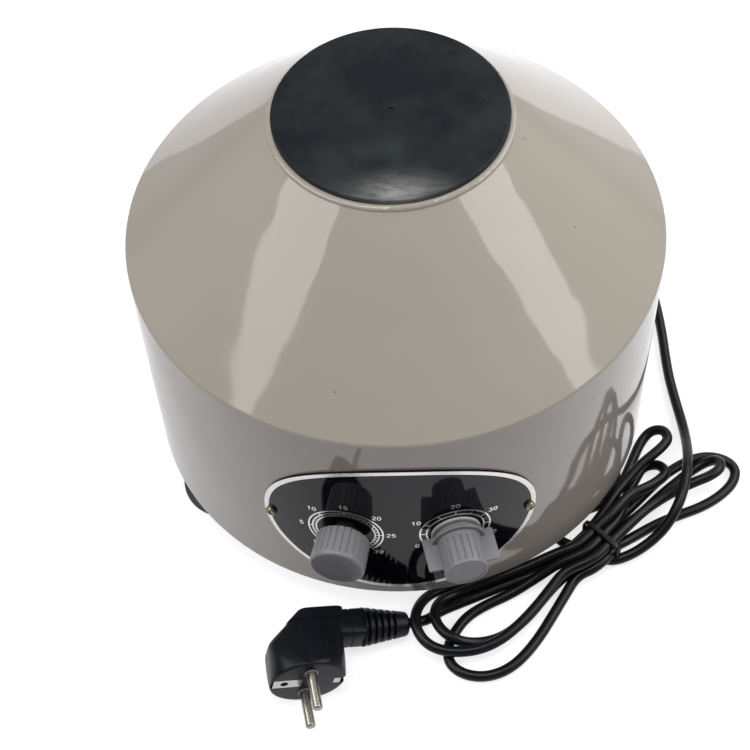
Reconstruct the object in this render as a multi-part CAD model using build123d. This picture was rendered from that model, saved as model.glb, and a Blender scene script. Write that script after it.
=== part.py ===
from build123d import *
import os
from math import cos, pi, radians, sin, sqrt, tan

# Bench centrifuge, 6 x 20 ml fixed-angle rotor. Millimetres, +Z up.
# The origin is on the rotor axis at the level of the bench top. The control panel faces -Y.

# ---- driving dimensions: casing ----
drumRadius = 130.0
drumWall = 2.0
footHeight = 13.0          # bench top to the casing's lower edge
rimHeight = 144.3          # bench top to the crease between drum and cone
lipRadius = 56.3           # outside of the rolled lip round the mouth
lipHeight = 216.6          # bench top to the top of the lip
lipThickness = 3.8
mouthRadius = 50.0
creaseFillet = 2.5
lipFillet = 1.4
flangeWidth = 11.0         # return flange inside the drum's lower edge
flangeThickness = 2.0

# ---- lid ----
lidRadius = 53.8
lidThickness = 2.6
lidGap = 0.3               # lid underside above the lip
lidTabDepth = 5.0          # locating tabs under the lid
lidTabWall = 2.0
lidTabGap = 0.6            # tabs to the mouth
lidTabCount = 6
lidTabArc = 20.0           # degrees
lidDimpleRadius = 1.6
lidDimpleDepth = 0.5
lidRound = 0.9

# ---- base, feet ----
baseThickness = 3.0
baseGap = 0.6              # base plate to drum wall
baseScrewInset = 8.5        # screw circle inside the drum's outside
baseScrewCount = 6
footRadius = 24.0
footInset = 23.5           # foot circle inside the drum's outside
footAngles = {"rear": 90.0, "front_left": 210.0, "front_right": 330.0}
footNeckRadius = 9.5
footBossRadius = 11.0      # flare under the base plate
footCupHeight = 6.5        # top of the cup's bell
footHollowHeight = 4.0     # hollow underside, at its middle
footHollowRadius = 10.0
footRimWidth = 2.2         # flat ring that meets the bench
footRimHeight = 1.6
footStudDepth = 5.0        # stud in the foot
footStudRadius = 2.5
ventHoleRadius = 3.5
ventCircle = 70.0
ventCount = 8

# ---- fasteners ----
m4Radius = 2.0
m4Clearance = 0.2
m4HeadRadius = 3.6
m4HeadHeight = 2.2
m4NutFlats = 7.0
m4NutHeight = 3.2
m5NutFlats = 8.0
m5NutHeight = 4.0
threadEnd = 1.0            # thread past a nut
fitGap = 0.05              # radial, between fixed pieces that fit one in the other
runGap = 0.04              # radial, between a turning shaft and its bore

# ---- motor ----
motorRadius = 42.0
damperRadius = 8.0
damperHeight = 8.0
damperOffset = 8.0         # damper circle outside the motor
damperAngles = [30.0, 150.0, 270.0]
motorPlateMargin = 10.0    # plate past the damper circle
motorPlateThickness = 3.0
motorPlateHole = 8.0       # smaller than the bearing, which rests on its edge
lowerCapHeight = 23.0
statorHeight = 28.0
upperCapHeight = 12.0
capWall = 3.0
capSideWall = 6.5
bearingBossWall = 3.0
capChamfer = (1.0, 4.0)    # drop and width
bearingRadius = 11.0
bearingHeight = 7.0
shaftRadius = 4.0
statorBore = 23.0
armatureRadius = 22.2
armatureSlots = 12
armatureSlotDepth = 2.5
armatureSlotWidth = 1.6
coilInner = 25.0
coilGap = 1.0              # coils to the end caps' walls
coilHeight = 5.0
windingRadius = 18.0
windingHeight = 5.0
upperWindingHeight = 4.0
commutatorRadius = 11.0
commutatorHeight = 9.0
brushWidth = 6.0
brushHeight = 7.0
brushRise = 5.5            # middle of the brushes above the bearing
brushLength = 12.0
brushGap = 0.3             # brush to commutator
brushHolderWall = 1.5
brushHolderStart = 14.0
brushHolderProud = 6.0     # holder's end past the motor
brushSpringRadius = 2.4
brushSpringInner = 1.6
motorBoltRadius = 1.8
motorBoltInset = 4.2       # bolt circle inside the motor's outside
motorBoltAngles = [45.0, 225.0]
motorBoltHead = 1.4        # how much the head is wider and how high it is
fanInset = 8.0             # fan smaller than the motor
fanHeight = 6.0
fanHubRadius = 9.0
fanThickness = 1.2
fanBlades = 8
fanGap = 2.0               # above the motor

# ---- chamber ----
bowlWall = 2.0
bowlInset = 13.0           # outside of the bowl's wall, from the drum's outside
bowlFloorHeight = 101.0    # underside of the bowl's outer floor
bowlCentreHeight = 106.5   # underside of the bowl's raised middle
bowlCollarHeight = 6.0
bowlHoleRadius = 10.0
bowlMiddleRadius = 58.0    # edge of the raised middle
bowlSlopeEnd = 72.0
bowlCorner = 8.0           # outside fillet, floor to wall
bowlFlangeInset = 5.5
bowlFlangeDrop = 1.3       # flange's top under the crease
postRadius = 3.0
postInset = 9.0            # post circle inside the drum's outside
postAngles = [45.0, 135.0, 225.0, 315.0]
postScrewRadius = 1.45
postScrewHole = 1.5
postScrewDepth = 8.0
postScrewHeadRadius = 2.7
postScrewHeadHeight = 1.3

# ---- rotor ----
sleeveCount = 6
sleeveTilt = 45.0          # sleeve axis to the rotor axis
sleeveBore = 11.5
sleeveWall = 1.2
sleeveDepth = 95.0         # mouth to the cushion's top, which is the bottom of the tube bore
sleeveFloor = 1.5
sleeveFlangeRadius = 14.2
sleeveFlangeHeight = 1.6
sleeveSeat = 0.2           # radial, sleeve to its hole in the rotor head
seatCircle = 29.5          # sleeve axis where it meets the rotor head's dish
seatHeight = 188.0
headWall = 3.0
dishInner = 13.0           # along the dish, from the seat inwards and outwards
dishOuter = 17.5
lowerSeatDistance = 60.0   # along the sleeve, dish to lower ring
lowerSeatHalf = 17.5
hubRadius = 15.0
hubBottom = 150.0
hubTop = 181.5
neckHeight = 9.0           # join of the hub's top and the dish
neckOverlap = 2.0
webOverlap = 4.0
rotorNutRadius = 8.0
rotorNutHeight = 7.0
shaftEnd = 1.0             # shaft past the nut
cushionRadius = 10.4       # in a recess narrower than the tube bore
cushionHeight = 3.0

# ---- control panel ----
panelArcHalf = 67.2        # half width, measured round the drum
panelHalfHeight = 53.0
panelHeight = 72.8         # bench top to the panel's middle
panelThickness = 1.0
panelScrewArc = 63.4
panelScrewHeight = 70.5
panelScrewRadius = 1.45
panelScrewHole = 1.5
panelScrewHeadRadius = 2.7
panelScrewHeadHeight = 1.9
panelScrewTail = 4.0       # inside the drum
crossSlot = (3.6, 0.7, 1.6)
controlHeight = 70.0
controlArc = 26.0
bushRadius = 4.5
bushLength = 4.6           # outside the drum
controlShaftRadius = 3.0
controlNutFlats = 12.0
controlNutHeight = 1.8
timerBodySize = 38.0
timerBodyDepth = 30.0
timerBodyGap = 1.8         # body to drum wall
timerTabSize = (14.0, 6.0, 6.0)
timerBoreDepth = 12.0
potRadius = 12.0
potDepth = 12.0
potGap = 0.8
potBoreDepth = 8.0
potPinSize = (2.0, 7.0, 1.0)
potPinPitch = 4.0
shaftShort = 1.0           # shaft end to the bottom of its bore

# ---- knobs ----
knobGap = 1.0              # knob's back above the panel
timerKnobRadius = 12.5
timerKnobProud = 21.0      # front face past the drum
timerKnobRibs = 24
timerKnobBand = 2.6        # smooth band at the front
timerKnobRound = 1.6
timerKnobCap = 4.0         # front left over the shaft's bore
speedBarrelRadius = 10.3
speedKnobProud = 24.0      # front face past the drum
speedKnobRibs = 20
speedKnobRound = 0.8
speedFaceRim = 1.4
speedFaceDepth = 0.5
speedKnobCap = 5.0
speedRibStart = 2.5        # past the skirt
speedRibStop = 1.5         # behind the front
speedSkirtRadius = 14.0
speedSkirtThickness = 1.6
speedSkirtProud = 4.4      # skirt's back past the drum
speedCollarRadius = 10.5
wingReach = 17.0           # from the knob's axis
wingThickness = 1.7
wingProud = 21.5           # wings' front past the drum
knobTilt = 0.0             # the wings at rest, about the knob's axis
ribDepth = 0.5
ribWidth = 0.8
knobCavityRadius = 7.6
knobCavityDepth = 6.0
speedCavityDepth = 4.0
shaftTipGap = 0.2          # shaft tip to the bottom of the knob's bore

# ---- electrics in the base ----
boardCentre = (-84.0, 24.0)
boardSize = (40.0, 62.0)
boardThickness = 1.6
boardBoss = 4.0
boardBossInset = 5.0
capacitors = [(8.0, 18.0, 6.0, 16.0), (8.0, 3.0, 4.0, 10.0)]     # x, y, radius, height
relays = [(10.0, -14.0, 10.0, 16.0, 10.0), (-2.0, -24.0, 12.0, 8.0, 8.0)]     # x, y, sizes
heatsinkSize = (12.0, 40.0, 26.0)
heatsinkOffset = -11.0
heatsinkBack = 3.0
heatsinkFins = 6
heatsinkPitch = 6.0
heatsinkSlot = 3.0
terminalSize = (30.0, 14.0, 14.0)
terminalCentreY = 84.0
terminalPitch = 9.0
terminalHole = 2.5
terminalHoleDepth = 4.0

# ---- mains cord ----
cordRadius = 2.7
bushAxisHeight = 30.0
bushProud = 22.0           # tip past the drum
bushBaseRadius = 6.6
bushTipRadius = 4.3
bushFlangeRadius = 9.0
bushFlangeWidth = 2.2
bushShoulder = (0.4, 0.8)  # step from the flange to the taper
bushInside = 4.0           # flange inside the drum
bushInsideGap = 0.6
bushOutsideGap = 0.1
leadPoints = [
    (0.0, 152.0, 30.0), (0.0, 168.0, 30.0), (6.5, 184.0, 25.5), (21.0, 195.0, 16.0),
    (43.0, 197.5, 7.0), (69.0, 189.5, 2.9), (95.5, 171.5, 2.7), (117.5, 145.5, 2.7),
    (134.0, 115.0, 2.7), (143.5, 80.0, 2.7), (147.3, 44.0, 2.7), (147.5, 10.0, 2.7),
    (149.5, -9.0, 2.9), (151.5, -24.0, 3.6), (151.8, -38.0, 7.5), (150.5, -52.0, 14.5),
    (148.3, -64.0, 20.0), (145.5, -76.0, 20.6), (140.5, -87.5, 16.8), (133.0, -97.0, 10.5),
    (119.8, -105.3, 4.6), (105.5, -110.0, 2.8),
]
# outlines of the hank's outer shape on the bench, one layer on another
hankFloor = [
    (89, -98), (72, -108), (52, -117), (32, -122), (14, -125), (8, -131), (5, -141), (8, -152),
    (15, -158), (20, -161), (21, -166), (25, -171), (36, -175), (48, -173), (60, -165), (69, -153),
    (78, -138), (87, -121), (97, -112), (106.5, -113.5), (106.5, -106.5), (118, -98), (131, -91),
    (142, -86), (153, -81), (168, -73), (175, -66), (177, -58), (174, -51), (166, -48), (156, -50),
    (146, -53), (136, -61), (135, -55), (141, -43), (143, -35), (138, -29), (130, -33), (123, -46),
    (119, -58), (112, -74), (98, -90),
]
hankFloorHeight = 5.6
hankPile = [
    (90, -98.5), (76, -107.5), (60, -114.5), (56, -124), (70, -130), (84, -122), (97, -112),
    (107, -104), (124, -92), (140, -79), (158, -68), (166, -61), (163, -56), (150, -58), (134, -66),
    (131, -60), (124, -63), (112, -77), (99, -90),
]
hankPileHeight = 12.0
tieCentre = (96.6, -105.3)
tieAngle = 44.0            # of the hank's run at the tie, from +X
neckHalfWidth = 10.5
neckBottom = 1.3
neckTop = 15.0
neckHalfLength = 15.0
tieWidth = 3.4
tieThickness = 1.1
tieGrooveWider = 0.4
tieGrooveSide = 1.0        # groove past the band, where the neck is left whole
cordPocketGap = 0.2        # lead to the pocket that takes its end
tailLength = 7.0           # from the strain relief into the hank

# ---- plug ----
plugFace = (-46.0, -181.5, 19.0)
plugPinHeading = -79.1     # direction of the pins, from +X
plugRoll = 14.0            # the cord's outlet dips by this much
plugRadius = 18.6
plugDepth = 36.0
plugNeckDepth = 28.0       # face to the middle of the neck
plugNeckHalf = 8.0
plugNeckEnd = 28.5
reliefEnd = 55.7
reliefStartRadius = 8.4
reliefEndRadius = 5.5
reliefRibs = 4
reliefCollar = 9.5         # smooth end past the ribs
reliefCoreStep = 1.2       # core under the last rib
reliefRibShare = 0.76      # rib's share of its pitch
plugNeckStart = 4.0
plugNeckNarrow = 1.0       # neck's width under its height
plugNeckRound = 4.5
plugBackFlat = 13.0        # back, from the side to the chamfer
plugSideFlat = 18.0        # face to the chamfer
plugGroove = (6.0, 2.2)
pinRadius = 2.4
pinSpacing = 19.0
pinLength = 19.0
pinRoot = 8.0
pinShankRadius = 1.9       # moulded into the plug
pinRound = 1.2
earthPlate = (14.0, 7.0, 1.2)
earthPlateInset = 1.5
earthHole = 1.9
earthClip = (3.2, 4.4)
earthClipInset = 4.2

# ---- derived levels ----
baseTop = footHeight + baseThickness
plateBottom = baseTop + damperHeight
plateTop = plateBottom + motorPlateThickness
lowerCapTop = plateTop + lowerCapHeight
statorTop = lowerCapTop + statorHeight
upperCapTop = statorTop + upperCapHeight
brushLevel = plateTop + bearingHeight + brushRise
fanBottom = upperCapTop + fanGap
wallInner = drumRadius - drumWall
coneSlope = (lipHeight - lipThickness / 2 - rimHeight) / (drumRadius - lipRadius)
flangeTop = baseTop + flangeThickness
panelFront = drumRadius + fitGap + panelThickness
baseScrewCircle = drumRadius - baseScrewInset
footCircle = drumRadius - footInset
bowlRadius = drumRadius - bowlInset
bowlFlangeRadius = drumRadius - bowlFlangeInset
bowlFlangeTop = rimHeight - bowlFlangeDrop
postCircle = drumRadius - postInset
timerKnobFront = drumRadius + timerKnobProud
speedKnobFront = drumRadius + speedKnobProud
speedSkirtBack = drumRadius + speedSkirtProud
wingFront = drumRadius + wingProud
bushTipY = drumRadius + bushProud
damperCircle = motorRadius + damperOffset
motorPlateRadius = damperCircle + motorPlateMargin
coilOuter = motorRadius - capSideWall - coilGap
motorBoltCircle = motorRadius - motorBoltInset
brushHolderEnd = motorRadius + brushHolderProud
fanRadius = motorRadius - fanInset


def ring(outer, inner, bottom, top):
    return Pos(0, 0, (bottom + top) / 2) * (
        Cylinder(outer, top - bottom) - Cylinder(inner, 2 * (top - bottom)))


def disc(radius, bottom, top):
    return Pos(0, 0, (bottom + top) / 2) * Cylinder(radius, top - bottom)


def turned(points, rounds=()):
    """A solid turned about Z from a closed outline of (radius, height) points; rounds are (point, radius)."""
    outline = make_face(Polyline(*[(r, z) for r, z in points], close=True))
    for (r, z), size in rounds:
        corner = outline.vertices().sort_by_distance((r, z, 0))[0]
        outline = fillet(corner, size)
    return revolve(Plane.XZ * outline, axis=Axis.Z)


def polar(radius, angle, height=0.0):
    return Pos(radius * cos(radians(angle)), radius * sin(radians(angle)), height)


def hexagon(flats, bottom, top):
    return Pos(0, 0, bottom) * extrude(RegularPolygon(flats / 2, 6, major_radius=False), top - bottom)


def joined(pieces):
    return Compound(children=[s for p in pieces for s in p.solids()])


def on_drum(arc, height):
    """Frame on the rotor axis whose Z points out through the drum wall at this arc from the front."""
    turn = arc / drumRadius
    return Plane(origin=(0, 0, height), x_dir=(cos(turn), sin(turn), 0), z_dir=(sin(turn), -cos(turn), 0))


timerFrame = on_drum(-controlArc, controlHeight)
speedFrame = on_drum(controlArc, controlHeight)
panelScrewFrames = [on_drum(side * panelScrewArc, panelScrewHeight) for side in (-1, 1)]
bushFrame = Plane(origin=(0, 0, bushAxisHeight), x_dir=(1, 0, 0), z_dir=(0, 1, 0))
baseScrewAngles = [i * 360.0 / baseScrewCount for i in range(baseScrewCount)]


# ---- casing ----
def housing_shell():
    normal = sqrt(1 + coneSlope ** 2)
    innerDrop = drumWall * normal                      # cone wall, measured straight down
    coneTop = rimHeight + coneSlope * (drumRadius - lipRadius)
    lipUnder = lipHeight - lipThickness
    innerTopRadius = drumRadius - (lipUnder + innerDrop - rimHeight) / coneSlope
    innerRim = rimHeight + coneSlope * drumWall - innerDrop
    points = [
        (drumRadius, footHeight), (drumRadius, rimHeight), (lipRadius, coneTop), (lipRadius, lipHeight),
        (mouthRadius, lipHeight), (mouthRadius, lipUnder), (innerTopRadius, lipUnder),
        (wallInner, innerRim), (wallInner, flangeTop), (wallInner - flangeWidth, flangeTop),
        (wallInner - flangeWidth, baseTop), (wallInner, baseTop), (wallInner, footHeight),
    ]
    shell = turned(points, [((drumRadius, rimHeight), creaseFillet), ((lipRadius, lipHeight), lipFillet),
                            ((mouthRadius, lipHeight), lipFillet / 2)])
    for frame in (timerFrame, speedFrame):
        shell -= frame * disc(bushRadius + fitGap, wallInner - 5, drumRadius + 5)
    for frame in panelScrewFrames:
        shell -= frame * disc(panelScrewHole, wallInner - 5, drumRadius + 5)
    shell -= bushFrame * disc(bushBaseRadius + fitGap, wallInner - 5, drumRadius + 5)
    for angle in baseScrewAngles:
        shell -= polar(baseScrewCircle, angle) * disc(m4Radius + fitGap, baseTop - 1, flangeTop + 1)
    for angle in postAngles:
        shell -= polar(postCircle, angle) * disc(m4Radius + fitGap, baseTop - 1, flangeTop + 1)
    return shell


def base_plate():
    plate = disc(wallInner - baseGap, footHeight, baseTop)
    cuts = [(baseScrewCircle, a, m4Radius + m4Clearance) for a in baseScrewAngles]
    cuts += [(footCircle, a, footStudRadius + m4Clearance) for a in footAngles.values()]
    cuts += [(damperCircle, a, m4Radius + m4Clearance) for a in damperAngles]
    cuts += [(postCircle, a, m4Radius + m4Clearance) for a in postAngles]
    cuts += [(ventCircle, 22.5 + i * 360.0 / ventCount, ventHoleRadius) for i in range(ventCount)]
    for circle, angle, radius in cuts:
        plate -= polar(circle, angle) * disc(radius, footHeight - 1, baseTop + 1)
    for x, y in board_corners():
        plate += Pos(x, y, 0) * disc(boardBoss, baseTop, baseTop + boardBoss)
    return plate


def base_screws():
    screw = disc(m4HeadRadius, footHeight - m4HeadHeight, footHeight)
    screw += disc(m4Radius, footHeight, flangeTop + 2 * threadEnd)
    return joined([polar(baseScrewCircle, a) * screw for a in baseScrewAngles])


def foot():
    """Rubber suction cup with a hollow underside and a blind hole for its stud."""
    cup = turned(
        [(0, footHollowHeight), (footHollowRadius, footHollowHeight - 0.4), (footRadius - footRimWidth, 0.0),
         (footRadius, 0.0), (footRadius, footRimHeight), (footNeckRadius + 4, footCupHeight),
         (footNeckRadius, footCupHeight + 1.5), (footNeckRadius, footHeight - 2),
         (footBossRadius, footHeight), (0, footHeight)])
    return cup - disc(footStudRadius + fitGap, footHeight - footStudDepth, footHeight + 1)


def foot_studs():
    stud = disc(footStudRadius, footHeight - footStudDepth, baseTop + m5NutHeight + 2 * threadEnd)
    return joined([polar(footCircle, a) * stud for a in footAngles.values()])


def foot_nuts():
    nut = hexagon(m5NutFlats, baseTop, baseTop + m5NutHeight)
    nut -= disc(footStudRadius + fitGap, baseTop - 1, baseTop + m5NutHeight + 1)
    return joined([polar(footCircle, a) * nut for a in footAngles.values()])


def lid():
    under = lipHeight + lidGap
    cover = fillet(disc(lidRadius, under, under + lidThickness).edges().group_by(Axis.Z)[-1], lidRound)
    return cover - disc(lidDimpleRadius, under + lidThickness - lidDimpleDepth, under + lidThickness + 1)


def lid_tabs():
    """Short arcs under the lid that keep it centred in the mouth."""
    under = lipHeight + lidGap
    outer = mouthRadius - lidTabGap
    arc = revolve(Plane.XZ * make_face(Polyline(
        (outer - lidTabWall, under - lidTabDepth), (outer, under - lidTabDepth), (outer, under),
        (outer - lidTabWall, under), close=True)), axis=Axis.Z, revolution_arc=lidTabArc)
    return joined([Rot(0, 0, i * 360.0 / lidTabCount) * arc for i in range(lidTabCount)])


# ---- motor ----
def rubber_dampers():
    block = ring(damperRadius, m4Radius + m4Clearance, baseTop, plateBottom)
    return joined([polar(damperCircle, a) * block for a in damperAngles])


def damper_bolts():
    bolt = disc(m4HeadRadius, footHeight - m4HeadHeight, footHeight)
    bolt += disc(m4Radius, footHeight, plateTop + m4NutHeight + threadEnd)
    return joined([polar(damperCircle, a) * bolt for a in damperAngles])


def damper_nuts():
    nut = hexagon(m4NutFlats, plateTop, plateTop + m4NutHeight)
    nut -= disc(m4Radius + fitGap, plateTop - 1, plateTop + m4NutHeight + 1)
    return joined([polar(damperCircle, a) * nut for a in damperAngles])


def motor_plate():
    plate = ring(motorPlateRadius, motorPlateHole, plateBottom, plateTop)
    for angle in damperAngles:
        plate -= polar(damperCircle, angle) * disc(m4Radius + m4Clearance, plateBottom - 1, plateTop + 1)
    for angle in motorBoltAngles:
        plate -= polar(motorBoltCircle, angle) * disc(motorBoltRadius + fitGap, plateBottom - 1, plateTop + 1)
    return plate


def bolt_holes(body, bottom, top):
    for angle in motorBoltAngles:
        body -= polar(motorBoltCircle, angle) * disc(motorBoltRadius + fitGap, bottom, top)
    return body


def motor_end_cap_lower():
    """Cup that holds the lower bearing and the brush holders."""
    seat = plateTop + bearingHeight
    boss = bearingRadius + bearingBossWall
    cap = turned(
        [(bearingRadius + fitGap, plateTop), (motorRadius, plateTop), (motorRadius, lowerCapTop),
         (motorRadius - capSideWall, lowerCapTop), (motorRadius - capSideWall, plateTop + capWall),
         (boss, plateTop + capWall), (boss, seat), (bearingRadius + fitGap, seat)])
    reach = brushWidth + 2 * (brushHolderWall + fitGap)
    cap -= Pos(0, 0, brushLevel) * Box(3 * motorRadius, reach, brushHeight + 2 * (brushHolderWall + fitGap))
    return bolt_holes(cap, plateTop - 1, lowerCapTop + 1)


def motor_end_cap_upper():
    seat = upperCapTop - bearingHeight
    boss = bearingRadius + bearingBossWall
    cap = turned(
        [(motorRadius, statorTop), (motorRadius, upperCapTop - capChamfer[0]),
         (motorRadius - capChamfer[1], upperCapTop),
         (bearingRadius + fitGap, upperCapTop), (bearingRadius + fitGap, seat), (boss, seat),
         (boss, upperCapTop - capWall), (motorRadius - capSideWall, upperCapTop - capWall),
         (motorRadius - capSideWall, statorTop)])
    return bolt_holes(cap, statorTop - 1, upperCapTop + 1)


def motor_stator():
    return bolt_holes(ring(motorRadius, statorBore, lowerCapTop, statorTop), lowerCapTop - 1, statorTop + 1)


def motor_field_coils():
    return joined([ring(coilOuter, coilInner, lowerCapTop - coilHeight, lowerCapTop),
                   ring(coilOuter, coilInner, statorTop, statorTop + coilHeight)])


def motor_bolts():
    bolt = disc(motorBoltRadius, plateBottom, upperCapTop)
    bolt += disc(motorBoltRadius + motorBoltHead, upperCapTop, upperCapTop + motorBoltHead)
    return joined([polar(motorBoltCircle, a) * bolt for a in motorBoltAngles])


def motor_bearings():
    bearing = ring(bearingRadius, shaftRadius + runGap, 0, bearingHeight)
    return joined([Pos(0, 0, plateTop) * bearing, Pos(0, 0, upperCapTop - bearingHeight) * bearing])


def brush_holders():
    length = brushHolderEnd - brushHolderStart
    tube = Box(length, brushWidth + 2 * brushHolderWall, brushHeight + 2 * brushHolderWall)
    tube -= Pos(-brushHolderWall, 0, 0) * Box(length, brushWidth + 2 * fitGap, brushHeight + 2 * fitGap)
    holder = Pos(brushHolderStart + length / 2, 0, brushLevel) * tube
    return joined([holder, Rot(0, 0, 180) * holder])


def carbon_brushes():
    brush = Pos(commutatorRadius + brushGap + brushLength / 2, 0, brushLevel) * Box(
        brushLength, brushWidth, brushHeight)
    return joined([brush, Rot(0, 0, 180) * brush])


def brush_springs():
    start = commutatorRadius + brushGap + brushLength
    length = brushHolderEnd - brushHolderWall - start
    spring = Pos(start + length / 2, 0, brushLevel) * Rot(0, 90, 0) * (
        Cylinder(brushSpringRadius, length) - Cylinder(brushSpringInner, 2 * length))
    return joined([spring, Rot(0, 0, 180) * spring])


# ---- what turns with the motor ----
def motor_shaft():
    return disc(shaftRadius, plateTop - 2 * shaftEnd, hubTop + rotorNutHeight + shaftEnd)


def armature_core():
    core = ring(armatureRadius, shaftRadius, lowerCapTop, statorTop)
    slot = Pos(armatureRadius, 0, (lowerCapTop + statorTop) / 2) * Box(
        2 * armatureSlotDepth, armatureSlotWidth, 2 * statorHeight)
    for i in range(armatureSlots):
        core -= Rot(0, 0, i * 360.0 / armatureSlots) * slot
    return core


def armature_windings():
    return joined([ring(windingRadius, shaftRadius, lowerCapTop - windingHeight, lowerCapTop),
                   ring(windingRadius, shaftRadius, statorTop, statorTop + upperWindingHeight)])


def commutator():
    half = commutatorHeight / 2
    return ring(commutatorRadius, shaftRadius, brushLevel - half, brushLevel + half)


def cooling_fan():
    reach = fanRadius - fanHubRadius
    fan = ring(fanHubRadius, shaftRadius, fanBottom, fanBottom + fanHeight)
    fan += ring(fanRadius, fanHubRadius - 0.5, fanBottom, fanBottom + fanThickness)
    blade = Pos(fanHubRadius - 1 + reach / 2, 0, fanBottom + fanHeight / 2) * Box(
        reach, fanThickness, fanHeight)
    for i in range(fanBlades):
        fan += Rot(0, 0, i * 360.0 / fanBlades) * blade
    return fan


# ---- chamber ----
def chamber_bowl():
    """Bowl round the rotor: raised middle with a collar, flat outer floor, wall and top flange."""
    t = bowlWall
    collarTop = bowlCentreHeight + bowlCollarHeight
    bowl = turned(
        [(bowlHoleRadius, bowlCentreHeight), (bowlMiddleRadius, bowlCentreHeight),
         (bowlSlopeEnd, bowlFloorHeight), (bowlRadius, bowlFloorHeight), (bowlRadius, bowlFlangeTop - t),
         (bowlFlangeRadius, bowlFlangeTop - t), (bowlFlangeRadius, bowlFlangeTop),
         (bowlRadius - t, bowlFlangeTop), (bowlRadius - t, bowlFloorHeight + t),
         (bowlSlopeEnd + t / 4, bowlFloorHeight + t), (bowlMiddleRadius + t / 4, bowlCentreHeight + t),
         (bowlHoleRadius + t, bowlCentreHeight + t), (bowlHoleRadius + t, collarTop),
         (bowlHoleRadius, collarTop)],
        [((bowlRadius, bowlFloorHeight), bowlCorner),
         ((bowlRadius - t, bowlFloorHeight + t), bowlCorner - t)])
    for angle in postAngles:
        bowl -= polar(postCircle, angle) * disc(m4Radius + fitGap, bowlFlangeTop - 5, bowlFlangeTop + 1)
    return bowl


def chamber_posts():
    """Stepped posts: each stands on the casing's flange, its thin end through flange and base plate."""
    top = bowlFlangeTop - bowlWall
    post = disc(postRadius, flangeTop, top) + disc(m4Radius, footHeight - threadEnd, flangeTop)
    post -= disc(postScrewHole, top - postScrewDepth - 2, bowlFlangeTop)
    return joined([polar(postCircle, a) * post for a in postAngles])


def chamber_screws():
    screw = disc(postScrewHeadRadius, bowlFlangeTop, bowlFlangeTop + postScrewHeadHeight)
    screw += disc(postScrewRadius, bowlFlangeTop - bowlWall - postScrewDepth, bowlFlangeTop)
    return joined([polar(postCircle, a) * screw for a in postAngles])


# ---- rotor ----
def along_sleeve(distance, offset=0.0):
    """(radius, height) of a point on the sleeve's axis this far down from the dish, and offset across it."""
    tilt = radians(sleeveTilt)
    return (seatCircle + distance * sin(tilt) + offset * cos(tilt),
            seatHeight - distance * cos(tilt) + offset * sin(tilt))


def sleeve_frames():
    """Frames at each sleeve's seat on the dish, with Z pointing out of the sleeve's mouth."""
    frames = []
    tilt = radians(sleeveTilt)
    for i in range(sleeveCount):
        turn = radians(i * 360.0 / sleeveCount + 30)
        origin = (seatCircle * cos(turn), seatCircle * sin(turn), seatHeight)
        frames.append(Plane(origin=origin, x_dir=(-sin(turn), cos(turn), 0),
                            z_dir=(-sin(tilt) * cos(turn), -sin(tilt) * sin(turn), cos(tilt))))
    return frames


def rotor_head():
    """Hub, sloping dish that carries the sleeves' flanges, web, and lower ring round the sleeves."""
    hub = ring(hubRadius, shaftRadius, hubBottom, hubTop)
    dish = turned([along_sleeve(0, -dishInner), along_sleeve(0, dishOuter),
                   along_sleeve(headWall, dishOuter), along_sleeve(headWall, -dishInner)])
    low = [along_sleeve(lowerSeatDistance, -lowerSeatHalf), along_sleeve(lowerSeatDistance, lowerSeatHalf),
           along_sleeve(lowerSeatDistance + headWall, lowerSeatHalf),
           along_sleeve(lowerSeatDistance + headWall, -lowerSeatHalf)]
    web = turned([(hubRadius - webOverlap, hubBottom), (hubRadius - webOverlap, hubBottom + headWall),
                  (hubRadius, hubBottom + headWall), low[0], low[3]])
    neck = turned([(shaftRadius, hubTop - 6), (shaftRadius, hubTop), (hubRadius, hubTop),
                   along_sleeve(0, neckOverlap - dishInner), along_sleeve(headWall, neckOverlap - dishInner),
                   (hubRadius, hubTop - neckHeight)])
    head = hub + dish + neck + turned(low) + web
    for frame in sleeve_frames():
        head -= frame * disc(sleeveBore + sleeveWall + sleeveSeat, -(lowerSeatDistance + 30), 3)
        head -= frame * disc(sleeveFlangeRadius + sleeveSeat, 0, 8)
    return head - disc(shaftRadius + fitGap, hubBottom - 5, hubTop + 5)


def rotor_nut():
    nut = hexagon(2 * rotorNutRadius * cos(pi / 6), hubTop, hubTop + rotorNutHeight)
    return nut - disc(shaftRadius + fitGap, hubTop - 1, hubTop + rotorNutHeight + 1)


def tube_sleeve():
    """Closed tube with a flange and a recess for its cushion; Z = 0 is the flange's underside."""
    outer = sleeveBore + sleeveWall
    seat = sleeveFlangeHeight - sleeveDepth
    recess = seat - cushionHeight
    return turned(
        [(0, recess - sleeveFloor), (outer, recess - sleeveFloor), (outer, 0), (sleeveFlangeRadius, 0),
         (sleeveFlangeRadius, sleeveFlangeHeight), (sleeveBore, sleeveFlangeHeight), (sleeveBore, seat),
         (cushionRadius + fitGap, seat), (cushionRadius + fitGap, recess), (0, recess)],
        [((outer, recess - sleeveFloor), 2.5)])


def sleeve_cushion():
    top = sleeveFlangeHeight - sleeveDepth
    return turned([(0, top - cushionHeight), (cushionRadius, top - cushionHeight), (cushionRadius, top),
                   (cushionRadius - 2, top), (0, top - cushionHeight / 2)])


# ---- control panel ----
def panel_outline(size):
    """Ellipse measured round the drum, brought to straight X by the sine of its angle."""
    points = []
    for i in range(24):
        t = 2 * pi * i / 24
        arc = (panelArcHalf + size) * cos(t)
        points.append((drumRadius * sin(arc / drumRadius), (panelHalfHeight + size) * sin(t)))
    return make_face(Spline(*points, periodic=True))


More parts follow.
